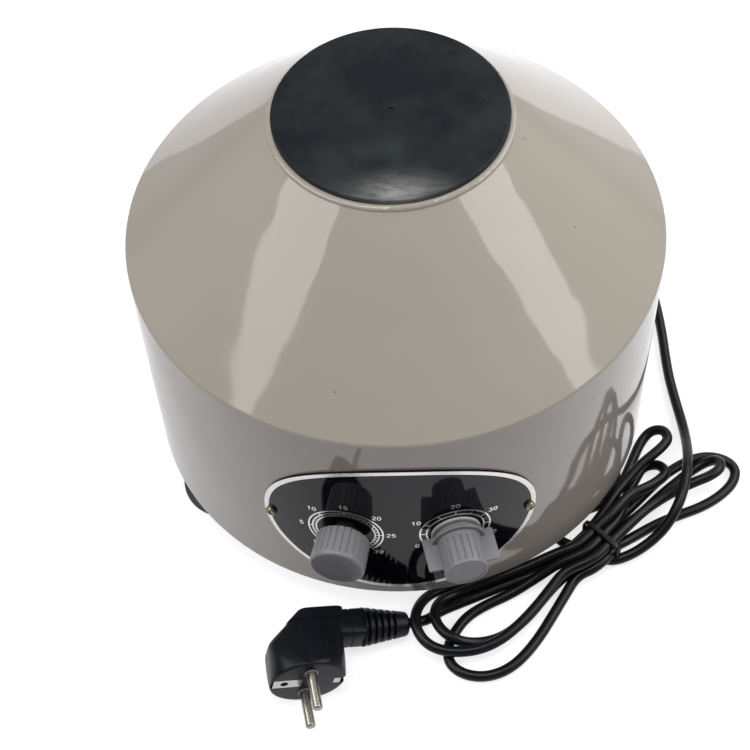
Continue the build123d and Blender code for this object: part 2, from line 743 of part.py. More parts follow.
def panel_plate():
    inner = drumRadius + fitGap
    half = panelHalfHeight + 5
    shell = ring(inner + panelThickness, inner, panelHeight - half, panelHeight + half)
    front = Plane(origin=(0, -drumRadius / 2, panelHeight), x_dir=(1, 0, 0), z_dir=(0, -1, 0))
    plate = shell & (front * extrude(panel_outline(0), drumRadius))
    for frame in (timerFrame, speedFrame):
        plate -= frame * disc(bushRadius + fitGap, drumRadius - 10, drumRadius + 10)
    for frame in panelScrewFrames:
        plate -= frame * disc(panelScrewHole, drumRadius - 10, drumRadius + 10)
    return plate


def panel_screws():
    top = panelFront + panelScrewHeadHeight
    length, width, depth = crossSlot
    head = disc(panelScrewHeadRadius, panelFront, top)
    head = fillet(head.edges().group_by(Axis.Z)[-1], 1.0)
    head -= Pos(0, 0, top) * (Box(length, width, depth) + Box(width, length, depth))
    screw = disc(panelScrewRadius, wallInner - panelScrewTail, panelFront)
    return joined([frame * (screw + head) for frame in panelScrewFrames])


def control_bush(bodyFront):
    bush = disc(bushRadius, bodyFront - 1, drumRadius + bushLength)
    return bush - disc(controlShaftRadius + runGap, bodyFront - 30, drumRadius + bushLength + 1)


def timer_body():
    front = wallInner - timerBodyGap
    half = timerBodySize / 2
    case = Pos(0, 0, front - timerBodyDepth / 2) * Box(timerBodySize, timerBodySize, timerBodyDepth)
    case = fillet(case.edges().filter_by(Axis.Z), 3)
    case -= disc(controlShaftRadius + runGap, front - timerBoreDepth, front + 1)
    tab = Box(*timerTabSize)
    case += Pos(0, timerTabSize[1] - half, front - timerBodyDepth - timerTabSize[2] / 2) * tab
    return timerFrame * (case + control_bush(front))


def speed_potentiometer():
    front = wallInner - potGap
    case = disc(potRadius, front - potDepth, front)
    case -= disc(controlShaftRadius + runGap, front - potBoreDepth, front + 1)
    for x in (-potPinPitch, 0, potPinPitch):
        case += Pos(x, 1 - potRadius - potPinSize[1] / 2, front - 4) * Box(*potPinSize)
    return speedFrame * (case + control_bush(front))


def control_nuts():
    nut = hexagon(controlNutFlats, panelFront, panelFront + controlNutHeight)
    nut -= disc(bushRadius + fitGap, panelFront - 1, panelFront + controlNutHeight + 1)
    return joined([frame * nut for frame in (timerFrame, speedFrame)])


def rib_grooves(radius, count, back, front):
    groove = Pos(radius, 0, (back + front) / 2) * Box(2 * ribDepth, ribWidth, front - back)
    return [Rot(0, 0, (i + 0.5) * 360.0 / count) * groove for i in range(count)]


def knob_back():
    return panelFront + knobGap


def timer_knob():
    back = knob_back()
    knob = disc(timerKnobRadius, back, timerKnobFront)
    knob = fillet(knob.edges().group_by(Axis.Z)[-1], timerKnobRound)
    for cut in rib_grooves(timerKnobRadius, timerKnobRibs, back - 1, timerKnobFront - timerKnobBand):
        knob -= cut
    knob -= disc(knobCavityRadius, back - 1, back + knobCavityDepth)
    knob -= disc(controlShaftRadius + fitGap, back, timerKnobFront - timerKnobCap)
    return timerFrame * knob


def timer_shaft():
    start = wallInner - timerBodyGap - timerBoreDepth + shaftShort
    return timerFrame * disc(controlShaftRadius, start, timerKnobFront - timerKnobCap - shaftTipGap)


def speed_knob():
    back = speedSkirtBack + speedSkirtThickness
    knob = disc(speedBarrelRadius, speedSkirtBack, speedKnobFront)
    knob = fillet(knob.edges().group_by(Axis.Z)[-1], speedKnobRound)
    knob -= disc(speedBarrelRadius - speedFaceRim, speedKnobFront - speedFaceDepth, speedKnobFront + 1)
    ribBack, ribFront = back + speedRibStart, speedKnobFront - speedRibStop
    for cut in rib_grooves(speedBarrelRadius, speedKnobRibs, ribBack, ribFront):
        knob -= cut
    knob += disc(speedSkirtRadius, speedSkirtBack, back)
    knob += disc(speedCollarRadius, knob_back(), speedSkirtBack)
    span = wingFront - speedSkirtBack
    wings = Box(2 * wingReach, wingThickness, span)
    wings -= Box(2 * speedBarrelRadius - 2, 2 * wingThickness, 2 * span)
    knob += Pos(0, 0, speedSkirtBack + span / 2) * wings
    knob -= disc(knobCavityRadius, knob_back() - 1, knob_back() + speedCavityDepth)
    knob -= disc(controlShaftRadius + fitGap, knob_back(), speedKnobFront - speedKnobCap)
    return speedFrame * (Rot(0, 0, knobTilt) * knob)


def speed_shaft():
    start = wallInner - potGap - potBoreDepth + shaftShort
    return speedFrame * disc(controlShaftRadius, start, speedKnobFront - speedKnobCap - shaftTipGap)


# ---- electrics ----
def board_corners():
    x, y = boardCentre
    dx, dy = boardSize[0] / 2 - boardBossInset, boardSize[1] / 2 - boardBossInset
    return [(x + i * dx, y + j * dy) for i in (-1, 1) for j in (-1, 1)]


def control_board():
    return Pos(*boardCentre, baseTop + boardBoss + boardThickness / 2) * Box(*boardSize, boardThickness)


def board_components():
    x, y = boardCentre
    top = baseTop + boardBoss + boardThickness
    pieces = [Pos(x + i, y + j, 0) * disc(radius, top, top + height) for i, j, radius, height in capacitors]
    pieces += [Pos(x + i, y + j, top + c / 2) * Box(a, b, c) for i, j, a, b, c in relays]
    return joined(pieces)


def heatsink():
    """Finned block standing on the board."""
    x, y = boardCentre
    w, length, height = heatsinkSize
    bottom = baseTop + boardBoss + boardThickness
    block = Pos(0, 0, height / 2) * Box(w, length, height)
    for i in range(heatsinkFins):
        along = (i - (heatsinkFins - 1) / 2) * heatsinkPitch
        block -= Pos(-heatsinkBack, along, height / 2) * Box(w, heatsinkSlot, height + 2)
    return Pos(x + heatsinkOffset, y, bottom) * block


def terminal_block():
    block = Pos(0, terminalCentreY, baseTop + terminalSize[2] / 2) * Box(*terminalSize)
    hole = Pos(0, terminalCentreY, baseTop + terminalSize[2]) * Cylinder(terminalHole, 2 * terminalHoleDepth)
    for x in (-terminalPitch, 0, terminalPitch):
        block -= Pos(x, 0, 0) * hole
    return block


# ---- mains cord ----
def cable_bush():
    """Tapered rubber strain relief, waisted where it passes through the drum wall."""
    inside = wallInner - bushInsideGap
    outside = drumRadius + bushOutsideGap
    flange = outside + bushFlangeWidth
    bush = turned(
        [(0, inside - bushInside), (bushFlangeRadius - 1, inside - bushInside),
         (bushFlangeRadius - 1, inside),
         (bushBaseRadius, inside), (bushBaseRadius, outside), (bushFlangeRadius, outside),
         (bushFlangeRadius, flange), (bushBaseRadius - bushShoulder[0], flange + bushShoulder[1]),
         (bushTipRadius, bushTipY), (0, bushTipY)])
    return bushFrame * bush


def cord_radii(points):
    """For each corner, 0.45 of its shorter run over the tangent of half its turn."""
    radii = []
    for a, b, c in zip(points, points[1:], points[2:]):
        before, after = Vector(*b) - Vector(*a), Vector(*c) - Vector(*b)
        half = radians(before.get_angle(after)) / 2
        radii.append(0.45 * min(before.length, after.length) / tan(half))
    return radii


def cord_lead():
    radii = cord_radii(leadPoints)
    path = FilletPolyline(*leadPoints, radius=radii)
    start = Plane(origin=path @ 0, z_dir=path % 0)
    tube = sweep(start * Circle(cordRadius), path=path)
    section = pi * cordRadius ** 2
    print("cord_lead: corner radii", [round(r, 1) for r in radii])
    print("cord_lead: length %.1f mm, volume / (section x length) %.5f"
          % (path.length, tube.volume / (section * path.length)))
    return tube


def tie_frame():
    along = (cos(radians(tieAngle)), sin(radians(tieAngle)), 0)
    return Plane(origin=(*tieCentre, 0), x_dir=along, z_dir=(0, 0, 1))


def layer(points, height):
    return extrude(make_face(Polyline(*points, close=True)), height)


def cord_hank():
    """Outer shape of the tied hank: floor layer, pile, neck under the tie, and the tail's end."""
    middle = (neckBottom + neckTop) / 2
    tall = neckTop - neckBottom
    neck = tie_frame() * (Pos(0, 0, middle) * Box(2 * neckHalfLength, 2 * neckHalfWidth, tall))
    hank = layer(hankFloor, hankFloorHeight) + layer(hankPile, hankPileHeight) + neck
    slot = Box(tieWidth + tieGrooveWider, 80, 60)
    slot -= Box(tieWidth + 2 * tieGrooveSide, 2 * neckHalfWidth, tall)
    hank -= tie_frame() * (Pos(0, 0, middle) * slot)
    end, before = Vector(*leadPoints[-1]), Vector(*leadPoints[-2])
    hank -= Plane(origin=end, z_dir=before - end) * disc(cordRadius + cordPocketGap, 0, 20)
    return hank + plug_frame() * relief_placed(disc(cordRadius, 0, tailLength), reliefEnd)


def cord_tie():
    middle = (neckBottom + neckTop) / 2
    tall = neckTop - neckBottom
    inner = 2 * (neckHalfWidth + fitGap)
    band = Box(tieWidth, inner + 2 * tieThickness, tall + 2 * (tieThickness + fitGap))
    band -= Box(2 * tieWidth, inner, tall + 2 * fitGap)
    return tie_frame() * (Pos(0, 0, middle) * band)


# ---- plug ----
def plug_frame():
    """Frame on the plug's face: Z along the pins, X towards the cord's outlet."""
    heading, roll = radians(plugPinHeading), radians(plugRoll)
    level = (-sin(heading), cos(heading))
    return Plane(origin=plugFace, x_dir=(cos(roll) * level[0], cos(roll) * level[1], -sin(roll)),
                 z_dir=(cos(heading), sin(heading), 0))


def relief_placed(piece, start):
    """Puts a piece that stands on Z onto the neck's axis, start millimetres from the pins' axis."""
    return Pos(start, 0, -plugNeckDepth) * Rot(0, 90, 0) * piece


def plug_body():
    """Angled plug: round face, chamfered back, square neck and ribbed strain relief, moulded in one."""
    r = plugRadius
    side = make_face(Polyline((-r, 0), (r, 0), (r, -plugDepth), (plugBackFlat - r, -plugDepth),
                              (-r, -plugSideFlat), close=True))
    prism = extrude(Plane.XZ * side, r + 2, both=True)
    body = Pos(0, 0, -plugDepth / 2) * Cylinder(r, plugDepth) & prism
    for y in (-r, r):
        body -= Pos(0, y, -plugDepth / 2) * Box(*plugGroove, 2 * plugDepth)
    neckLength = plugNeckEnd - plugNeckStart
    neck = Box(neckLength, 2 * plugNeckHalf - plugNeckNarrow, 2 * plugNeckHalf)
    neck = fillet(neck.edges().filter_by(Axis.X), plugNeckRound)
    body += Pos(plugNeckStart + neckLength / 2, 0, -plugNeckDepth) * neck
    length = reliefEnd - plugNeckEnd
    core = Pos(0, 0, length / 2 - 1) * Cylinder(reliefEndRadius - reliefCoreStep, length + 2)
    body += relief_placed(core, plugNeckEnd)
    pitch = (length - reliefCollar) / (reliefRibs + 1 - reliefRibShare)
    for i in range(reliefRibs):
        share = (i + 0.5) * pitch / length
        radius = reliefStartRadius + (reliefEndRadius - reliefStartRadius) * share
        rib = disc(radius, (i + 1 - reliefRibShare) * pitch, (i + 1) * pitch)
        body += relief_placed(rib, plugNeckEnd)
    collarStart = reliefStartRadius + (reliefEndRadius - reliefStartRadius) * (1 - reliefCollar / length)
    collar = turned([(0, length - reliefCollar), (collarStart, length - reliefCollar),
                     (reliefEndRadius, length), (0, length)])
    body += relief_placed(collar, plugNeckEnd)
    for y in (-1, 1):
        body -= Pos(0, y * pinSpacing / 2, -pinRoot / 2) * Cylinder(pinShankRadius + fitGap, pinRoot)
    return plug_frame() * (body - earth_pockets(fitGap))


def earth_pockets(gap):
    """Places of the two earth contacts on the face, each grown by the gap."""
    w, h, t = earthPlate
    left = Pos(earthPlateInset + w / 2 - plugRadius, 0, -t / 2) * Box(w + 2 * gap, h + 2 * gap, t)
    clip = Box(earthClip[0] + 2 * gap, earthClip[1] + 2 * gap, t)
    right = Pos(plugRadius - earthClipInset, 0, -t / 2) * clip
    return left + right


def plug_pins():
    pin = disc(pinRadius, 0, pinLength)
    pin = fillet(pin.edges().group_by(Axis.Z)[-1], pinRound)
    pin += disc(pinShankRadius, -pinRoot, 0)
    return joined([plug_frame() * (Pos(0, y * pinSpacing / 2, 0) * pin) for y in (-1, 1)])


def plug_earth_contacts():
    w, h, t = earthPlate
    contacts = earth_pockets(0) - Pos(w / 2 - plugRadius, 0, -t / 2) * Cylinder(earthHole, 2 * t)
    return joined([plug_frame() * contacts])


os.makedirs("parts", exist_ok=True)
nodes = {
    "housing_shell": housing_shell(),
    "base_plate": base_plate(),
    "base_screws": base_screws(),
    "foot_studs": foot_studs(),
    "foot_nuts": foot_nuts(),
    "lid": lid(),
    "lid_tabs": lid_tabs(),
    "rubber_dampers": rubber_dampers(),
    "damper_bolts": damper_bolts(),
    "damper_nuts": damper_nuts(),
    "motor_plate": motor_plate(),
    "motor_end_cap_lower": motor_end_cap_lower(),
    "motor_end_cap_upper": motor_end_cap_upper(),
    "motor_stator": motor_stator(),
    "motor_field_coils": motor_field_coils(),
    "motor_bolts": motor_bolts(),
    "motor_bearings": motor_bearings(),
    "brush_holders": brush_holders(),
    "carbon_brushes": carbon_brushes(),
    "brush_springs": brush_springs(),
    "motor_shaft": motor_shaft(),
    "armature_core": armature_core(),
    "armature_windings": armature_windings(),
    "commutator": commutator(),
    "cooling_fan": cooling_fan(),
    "chamber_bowl": chamber_bowl(),
    "chamber_posts": chamber_posts(),
    "chamber_screws": chamber_screws(),
    "rotor_head": rotor_head(),
    "rotor_nut": rotor_nut(),
    "sleeve_cushions": joined([frame * sleeve_cushion() for frame in sleeve_frames()]),
    "panel_plate": panel_plate(),
    "panel_screws": panel_screws(),
    "timer_body": timer_body(),
    "speed_potentiometer": speed_potentiometer(),
    "control_nuts": control_nuts(),
    "timer_knob": timer_knob(),
    "timer_shaft": timer_shaft(),
    "speed_knob": speed_knob(),
    "speed_shaft": speed_shaft(),
    "control_board": control_board(),
    "board_components": board_components(),
    "heatsink": heatsink(),
    "terminal_block": terminal_block(),
    "cable_bush": cable_bush(),
    "cord_lead": cord_lead(),
    "cord_hank": cord_hank(),
    "cord_tie": cord_tie(),
    "plug_body": plug_body(),
    "plug_pins": plug_pins(),
    "plug_earth_contacts": plug_earth_contacts(),
}
for place, angle in footAngles.items():
    nodes["foot_" + place] = polar(footCircle, angle) * foot()
for i, frame in enumerate(sleeve_frames()):
    nodes["tube_sleeve_%d" % (i + 1)] = frame * tube_sleeve()
for name, shape in nodes.items():
    export_step(shape, "parts/%s.step" % name)
print(len(nodes), "nodes written")
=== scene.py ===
from math import cos, pi, radians, sin

import bmesh
import bpy
import numpy as np
from mathutils import Matrix, Quaternion, Vector


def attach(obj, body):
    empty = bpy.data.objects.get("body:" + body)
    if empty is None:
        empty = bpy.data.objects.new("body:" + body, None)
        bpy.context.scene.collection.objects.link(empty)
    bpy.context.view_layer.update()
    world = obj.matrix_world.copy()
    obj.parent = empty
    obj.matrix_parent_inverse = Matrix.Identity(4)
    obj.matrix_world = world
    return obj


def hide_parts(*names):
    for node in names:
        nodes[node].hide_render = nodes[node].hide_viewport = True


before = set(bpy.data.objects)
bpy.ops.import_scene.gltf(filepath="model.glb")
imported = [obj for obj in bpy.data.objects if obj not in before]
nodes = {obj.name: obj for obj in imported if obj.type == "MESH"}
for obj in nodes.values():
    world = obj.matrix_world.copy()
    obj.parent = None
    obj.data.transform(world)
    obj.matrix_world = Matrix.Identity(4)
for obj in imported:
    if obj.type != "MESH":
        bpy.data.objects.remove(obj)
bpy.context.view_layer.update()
print("frame loaded:", len(nodes), "nodes")


def sceneObject(name, data):
    obj = bpy.data.objects.new(name, data)
    bpy.context.scene.collection.objects.link(obj)
    return obj


# camera, in metres; the roll is about the line of sight
cameraSettings = {
    "place": (0.010044, -0.523108, 0.743419),
    "heading": (-0.026436, 0.584843, -0.810716),
    "rollDegrees": -3.279,
    "lens": 78.92,
    "sensor": 36.0,
}


def makeCamera(s):
    data = bpy.data.cameras.new("camera")
    data.lens = s["lens"]
    data.sensor_width = s["sensor"]
    data.clip_start = 0.01
    camera = sceneObject("camera", data)
    turn = Vector(s["heading"]).to_track_quat("-Z", "Y")
    turn = turn @ Quaternion((0, 0, 1), radians(s["rollDegrees"]))
    camera.matrix_world = Matrix.Translation(s["place"]) @ turn.to_matrix().to_4x4()
    bpy.context.scene.camera = camera


makeCamera(cameraSettings)
print("camera placed")


# shader nodes; each is added to the tree that the node or the socket before it belongs to
def newMaterial(name):
    material = bpy.data.materials.new(name)
    material.use_nodes = True
    shader = material.node_tree.nodes["Principled BSDF"]
    return material, shader, objectPlace(shader)


# A value that is another node's socket is linked; any other is set on the socket itself.
def setSockets(node, sockets):
    for key, value in sockets.items():
        if isinstance(value, bpy.types.NodeSocket):
            node.id_data.links.new(value, node.inputs[key])
        else:
            node.inputs[key].default_value = value


def addNode(before, kind, sockets, **settings):
    node = before.id_data.nodes.new("ShaderNode" + kind)
    for key, value in settings.items():
        setattr(node, key, value)
    setSockets(node, sockets)
    return node


def objectPlace(before):
    return addNode(before, "TexCoord", {}).outputs["Object"]


def noise(place, scale, detail=4.0, rough=0.5):
    sockets = {"Vector": place, "Scale": scale, "Detail": detail, "Roughness": rough}
    return addNode(place, "TexNoise", sockets).outputs["Fac"]


# A value's range is mapped to another and held at its ends; most noise lies in 0.35 to 0.65.
def spread(value, low, high, fromLow=0.35, fromHigh=0.65):
    sockets = {"Value": value, "From Min": fromLow, "From Max": fromHigh, "To Min": low, "To Max": high}
    return addNode(value, "MapRange", sockets).outputs["Result"]


def calc(operation, a, b=0.0):
    return addNode(a, "Math", {0: a, 1: b}, operation=operation).outputs[0]


def times(a, b):
    return calc("MULTIPLY", a, b)


def vectorLength(place):
    return addNode(place, "VectorMath", {0: place}, operation="LENGTH").outputs["Value"]


def bump(height, distance=1.0):
    sockets = {"Height": height, "Distance": distance, "Strength": 1.0}
    return addNode(height, "Bump", sockets).outputs["Normal"]


def blendColour(factor, a, b):
    a, b = [c if isinstance(c, bpy.types.NodeSocket) else (*c, 1.0) for c in (a, b)]
    sockets = {0: factor, 6: a, 7: b}                # its colours are inputs 6 and 7, output 2
    return addNode(factor, "Mix", sockets, data_type="RGBA").outputs[2]


# A colour brought down to a share of itself where the factor is one.
def tinted(colour, factor, share):
    sockets = {0: colour, "Scale": spread(factor, 1.0, share, 0.0, 1.0)}
    return addNode(colour, "VectorMath", sockets, operation="SCALE").outputs["Vector"]


# The finish's colour in patches, from a little darker to a little lighter.
def patchColour(place, s, detail=3.0):
    scale, share = s["patches"]
    node = addNode(place, "ValToRGB", {"Fac": noise(place, scale, detail)})
    for element, position, level in zip(node.color_ramp.elements, (0.3, 0.7), (1 - share, 1 + share)):
        element.position = position
        element.color = (*[c * level for c in s["colour"]], 1.0)
    return node.outputs["Color"]


def roughBand(factor, s):
    roughness, swing = s["rough"]
    return spread(factor, roughness - swing, roughness + swing)


# A plain finish has a colour in patches, a fine grain as bump and a roughness that follows it.
# Settings: rough (roughness, swing), patches (scale, share), grain (scale, depth in metres).
def plainFinish(name, s):
    material, shader, place = newMaterial(name)
    scale, depth = s["grain"]
    fine = noise(place, scale, detail=5.0, rough=0.6)
    setSockets(shader, {
        "Base Color": patchColour(place, s), "Roughness": roughBand(fine, s),
        "Metallic": s["metallic"], "Specular IOR Level": s["specular"], "Normal": bump(fine, depth)})
    return material


# Casing paint: a warm grey gloss over pressed sheet. The sheet is slightly wavy, the paint has a
# fine orange peel, a few dark specks and faint patches, and it is darker in patches just above the lower
# edge.
paintSettings = {
    "colour": (0.360, 0.325, 0.277), "rough": (0.068, 0.025), "dullScale": 22.0, "patches": (7.0, 0.025),
    "wave": (20.0, 8.5e-4), "peel": (700.0, 4e-6), "speckScale": 75.0, "speckSize": 0.045,
    "speckFrom": 0.58, "speckShade": 0.55, "lowEdgeDarkScale": 40.0, "lowEdgeDarkBand": (0.012, 0.030),
    "lowEdgeDarkPatches": (0.3, 1.0), "lowEdgeDarkLevel": 0.90,
}


def makePaint(s):
    material, shader, place = newMaterial("casingPaint")
    colour = patchColour(place, s)
    cells = addNode(place, "TexVoronoi", {"Vector": place, "Scale": s["speckScale"]})
    spot = calc("LESS_THAN", cells.outputs["Distance"], s["speckSize"])
    rare = calc("GREATER_THAN", noise(place, s["speckScale"] / 3, detail=1.0), s["speckFrom"])
    colour = tinted(colour, times(spot, rare), s["speckShade"])
    height = addNode(place, "SeparateXYZ", {"Vector": place}).outputs["Z"]
    # darker in patches just above the casing's lower edge
    patches = spread(noise(place, s["lowEdgeDarkScale"], detail=5.0), *s["lowEdgeDarkPatches"])
    lowEdgeDark = times(spread(height, 1.0, 0.0, *s["lowEdgeDarkBand"]), patches)
    wave = times(noise(place, s["wave"][0], detail=2.0, rough=0.35), s["wave"][1])
    peel = times(noise(place, s["peel"][0], detail=2.0), s["peel"][1])
    setSockets(shader, {
        "Base Color": tinted(colour, lowEdgeDark, s["lowEdgeDarkLevel"]),
        "Roughness": roughBand(noise(place, s["dullScale"]), s),
        "Normal": bump(calc("ADD", wave, peel))})
    return material


# Lid plastic: near black, with broad cloudy smudges that turn it duller and, as a painted sheen, a little
# greyer; fine scratches drawn out one way; and a scuffed patch by the front edge, its pale colour partly a
# painted sheen.
lidSettings = {
    "colour": (0.0040, 0.0058, 0.0080), "smudgeSheenColour": (0.0165, 0.0205, 0.0225), "smudgeSheenScale": 24.0,
    "smudgeSheenFrom": (0.42, 0.68), "roughness": (0.27, 0.46), "specular": 0.13, "grain": (1300.0, 1.5e-5),
    "scratch": (420.0, 0.5, 0.06), "scratchFrom": (0.60, 0.68), "scratchDepth": 1.2e-5,
    "scuffSheen": (420.0, -0.35, 0.30), "scuffSheenFrom": (0.36, 0.64), "scuffSheenTo": (0.45, 1.0),
    "scuffSheenColour": (0.27, 0.27, 0.26), "scuffSheenAt": (0.003, -0.0500, 0.2195), "scuffSheenSize": (0.036, 0.019, 0.03),
}


# Noise on coordinates turned about Z and drawn out along X, which makes streaks. Their settings
# are (scale, turn, stretch).
def streaks(place, scale, turn, stretch, **look):
    sockets = {"Vector": place, "Rotation": (0.0, 0.0, turn), "Scale": (stretch, 1.0, 1.0)}
    return noise(addNode(place, "Mapping", sockets).outputs["Vector"], scale, **look)


def makeLidPlastic(s):
    material, shader, place = newMaterial("lidPlastic")
    cloud = noise(place, s["smudgeSheenScale"], detail=6.0, rough=0.62)
    cloud = spread(cloud, 0.0, 1.0, *s["smudgeSheenFrom"])
    # the smudges are duller, and their greyer, bluer colour is a painted sheen
    colour = blendColour(cloud, s["colour"], s["smudgeSheenColour"])
    # a streaky patch by the front edge: scuffing in its roughness and colour, with its pale colour partly a
    # painted sheen
    centred = addNode(place, "Mapping", {
        "Vector": place, "Location": tuple(-a / b for a, b in zip(s["scuffSheenAt"], s["scuffSheenSize"])),
        "Scale": tuple(1 / b for b in s["scuffSheenSize"])}).outputs["Vector"]
    near = spread(vectorLength(centred), 1.0, 0.0, 0.0, 1.0)
    scuffSheen = streaks(place, *s["scuffSheen"], detail=6.0, rough=0.7)
    scuffSheen = times(times(near, near), spread(scuffSheen, *s["scuffSheenTo"], *s["scuffSheenFrom"]))
    dull = calc("MAXIMUM", cloud, scuffSheen)
    scratch = streaks(place, *s["scratch"], detail=2.0)
    scratch = times(spread(scratch, 0.0, 1.0, *s["scratchFrom"]), -s["scratchDepth"])
    grain = times(noise(place, s["grain"][0], detail=3.0), s["grain"][1])
    setSockets(shader, {
        "Base Color": blendColour(scuffSheen, colour, s["scuffSheenColour"]),
        "Roughness": spread(dull, *s["roughness"], 0.0, 1.0),
        "Specular IOR Level": s["specular"], "Normal": bump(calc("ADD", scratch, grain))})
    return material


# Metals and windings with a lay: fine lines round the rotor's axis, or level lines up it. Their
# height is the sine of the distance over the pitch.
laidDefaults = {"lay": "level", "patches": (30, 0.05), "dullScale": 300.0, "metallic": 1.0}
laidSettings = {
    "spunAluminium": {"colour": (0.42, 0.43, 0.44), "lay": "round", "pitch": 0.0011, "depth": 1e-5,
        "rough": (0.34, 0.06)},
    "sheetIron": {"colour": (0.17, 0.17, 0.18), "pitch": 0.0010, "depth": 8e-5, "rough": (0.48, 0.06),
        "patches": (30, 0.12)},
    "enamelledWire": {"colour": (0.50, 0.20, 0.08), "pitch": 0.0008, "depth": 1.2e-4, "rough": (0.30, 0.06),
        "patches": (30, 0.15), "metallic": 0.6},
    "turnedSteel": {"colour": (0.58, 0.58, 0.59), "pitch": 0.0006, "depth": 6e-6, "rough": (0.24, 0.06)},
}


def laidFinish(name, s):
    material, shader, place = newMaterial(name)
    parts = addNode(place, "SeparateXYZ", {"Vector": place}).outputs
    flat = addNode(place, "CombineXYZ", {"X": parts["X"], "Y": parts["Y"]}).outputs["Vector"]
    distance = parts["Z"]
    if s["lay"] == "round":
        distance = calc("ADD", distance, vectorLength(flat))
    lines = calc("SINE", times(distance, 2 * pi / s["pitch"]))
    setSockets(shader, {
        "Base Color": patchColour(place, s, detail=4.0),
        "Roughness": roughBand(noise(place, s["dullScale"]), s),
        "Metallic": s["metallic"], "Normal": bump(times(lines, s["depth"]))})
    return material


finishDefaults = {"patches": (60, 0.06), "grain": (900, 2e-5), "specular": 0.5, "metallic": 0.0}
finishSettings = {
    "cordSheath": {"colour": (0.0042, 0.0046, 0.0054), "rough": (0.3, 0.04), "patches": (30, 0.12),
        "grain": (1500, 1e-6), "specular": 0.22},
    "blackPlastic": {"colour": (0.0065, 0.007, 0.008), "rough": (0.36, 0.06), "patches": (30, 0.2),
        "specular": 0.32},
    "panelGloss": {"colour": (0.0036, 0.0041, 0.0058), "rough": (0.06, 0.02), "patches": (30, 0.1),
        "grain": (800, 5e-7), "specular": 0.17},
    "silverPrint": {"colour": (0.74, 0.73, 0.71), "rough": (0.26, 0.05), "patches": (60, 0.04),
        "grain": (1500, 5e-7), "metallic": 0.85},
    "whitePrint": {"colour": (0.8, 0.8, 0.79), "rough": (0.16, 0.05), "patches": (90, 0.04),
        "grain": (1500, 5e-7), "metallic": 0.8},
    "plugPlastic": {"colour": (0.0066, 0.008, 0.0108), "rough": (0.32, 0.05), "patches": (60, 0.2),
        "grain": (1500, 1e-5), "specular": 0.15},
    "softRubber": {"colour": (0.006, 0.006, 0.006), "rough": (0.55, 0.08), "patches": (70, 0.25),
        "grain": (1200, 4e-5)},
    "greyPlastic": {"colour": (0.2, 0.199, 0.204), "rough": (0.3, 0.06), "grain": (1400, 1e-5),
        "specular": 0.4},
    "paleDisc": {"colour": (0.46, 0.46, 0.43), "rough": (0.42, 0.05), "patches": (80, 0.06),
        "grain": (1200, 2e-5)},
    "screwMetal": {"colour": (0.25, 0.225, 0.16), "rough": (0.34, 0.06), "patches": (200, 0.1),
        "grain": (1800, 1e-5), "metallic": 1.0},
    # the plug pins' nickel, darker and browner than the plain nickel; the darkening is a painted shade
    "pinNickelPaintedShade": {"colour": (0.33, 0.305, 0.27), "rough": (0.27, 0.08), "patches": (90, 0.08),
        "grain": (1800, 2e-6), "metallic": 1.0},
    "nickel": {"colour": (0.5, 0.49, 0.47), "rough": (0.22, 0.06), "patches": (90, 0.05),
        "grain": (1800, 1e-5), "metallic": 1.0},
    "zincSteel": {"colour": (0.56, 0.57, 0.58), "rough": (0.34, 0.08), "patches": (50, 0.06),
        "metallic": 1.0},
    "castAluminium": {"colour": (0.38, 0.39, 0.4), "rough": (0.42, 0.08), "patches": (40, 0.06),
        "grain": (700, 6e-5), "metallic": 1.0},
    "satinAluminium": {"colour": (0.42, 0.425, 0.43), "rough": (0.45, 0.08), "patches": (40, 0.06),
        "grain": (700, 3e-5), "metallic": 0.35},
    "brass": {"colour": (0.66, 0.5, 0.24), "rough": (0.3, 0.06), "grain": (1000, 2e-5), "metallic": 1.0},
    "carbon": {"colour": (0.02, 0.02, 0.021), "rough": (0.6, 0.08), "patches": (200, 0.2),
        "grain": (1600, 3e-5)},
    "darkMoulding": {"colour": (0.03, 0.032, 0.036), "rough": (0.45, 0.06), "patches": (60, 0.15),
        "grain": (1100, 3e-5)},
    "circuitBoard": {"colour": (0.02, 0.12, 0.05), "rough": (0.35, 0.05), "patches": (150, 0.15)},
}
finishes = {name: plainFinish(name, {**finishDefaults, **s}) for name, s in finishSettings.items()}
finishes.update({name: laidFinish(name, {**laidDefaults, **s}) for name, s in laidSettings.items()})
finishes["casingPaint"] = makePaint(paintSettings)
finishes["lidPlastic"] = makeLidPlastic(lidSettings)
print("finishes made:", len(finishes))


# mesh helpers; a shape is (points, faces) in millimetres, a mesh is in metres, and a place is a
# 4 x 4 matrix from a piece's own frame to the casing's
def mergeClose(obj, distance=1e-7, sharpDegrees=35):
    work = bmesh.new()
    work.from_mesh(obj.data)
    bmesh.ops.remove_doubles(work, verts=work.verts, dist=distance)
    bmesh.ops.dissolve_degenerate(work, edges=work.edges, dist=distance)
    bmesh.ops.recalc_face_normals(work, faces=work.faces)
    work.to_mesh(obj.data)
    work.free()
    obj.data.set_sharp_from_angle(angle=radians(sharpDegrees))
    return obj


def newMesh(name, shape, place):
    points, faces = shape
    mesh = bpy.data.meshes.new(name)
    mesh.from_pydata(((points @ place[:3, :3].T + place[:3, 3]) / 1000).tolist(), [], faces)
    return mesh


def meshPiece(name, shape, finish, body, place=np.eye(4)):
    mesh = newMesh(name, shape, place)
    mesh.polygons.foreach_set("use_smooth", np.ones(len(mesh.polygons), bool))
    mesh.materials.append(finishes[finish])
    mesh.validate()
    obj = mergeClose(sceneObject(name, mesh))
    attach(obj, body)
    return obj


def shifted(shape, x, y):
    points, faces = shape
    return points + np.array([x, y, 0.0]), faces


def gridPoints(x, y, z):
    return np.stack(np.broadcast_arrays(x, y, z), axis=-1).reshape(-1, 3)


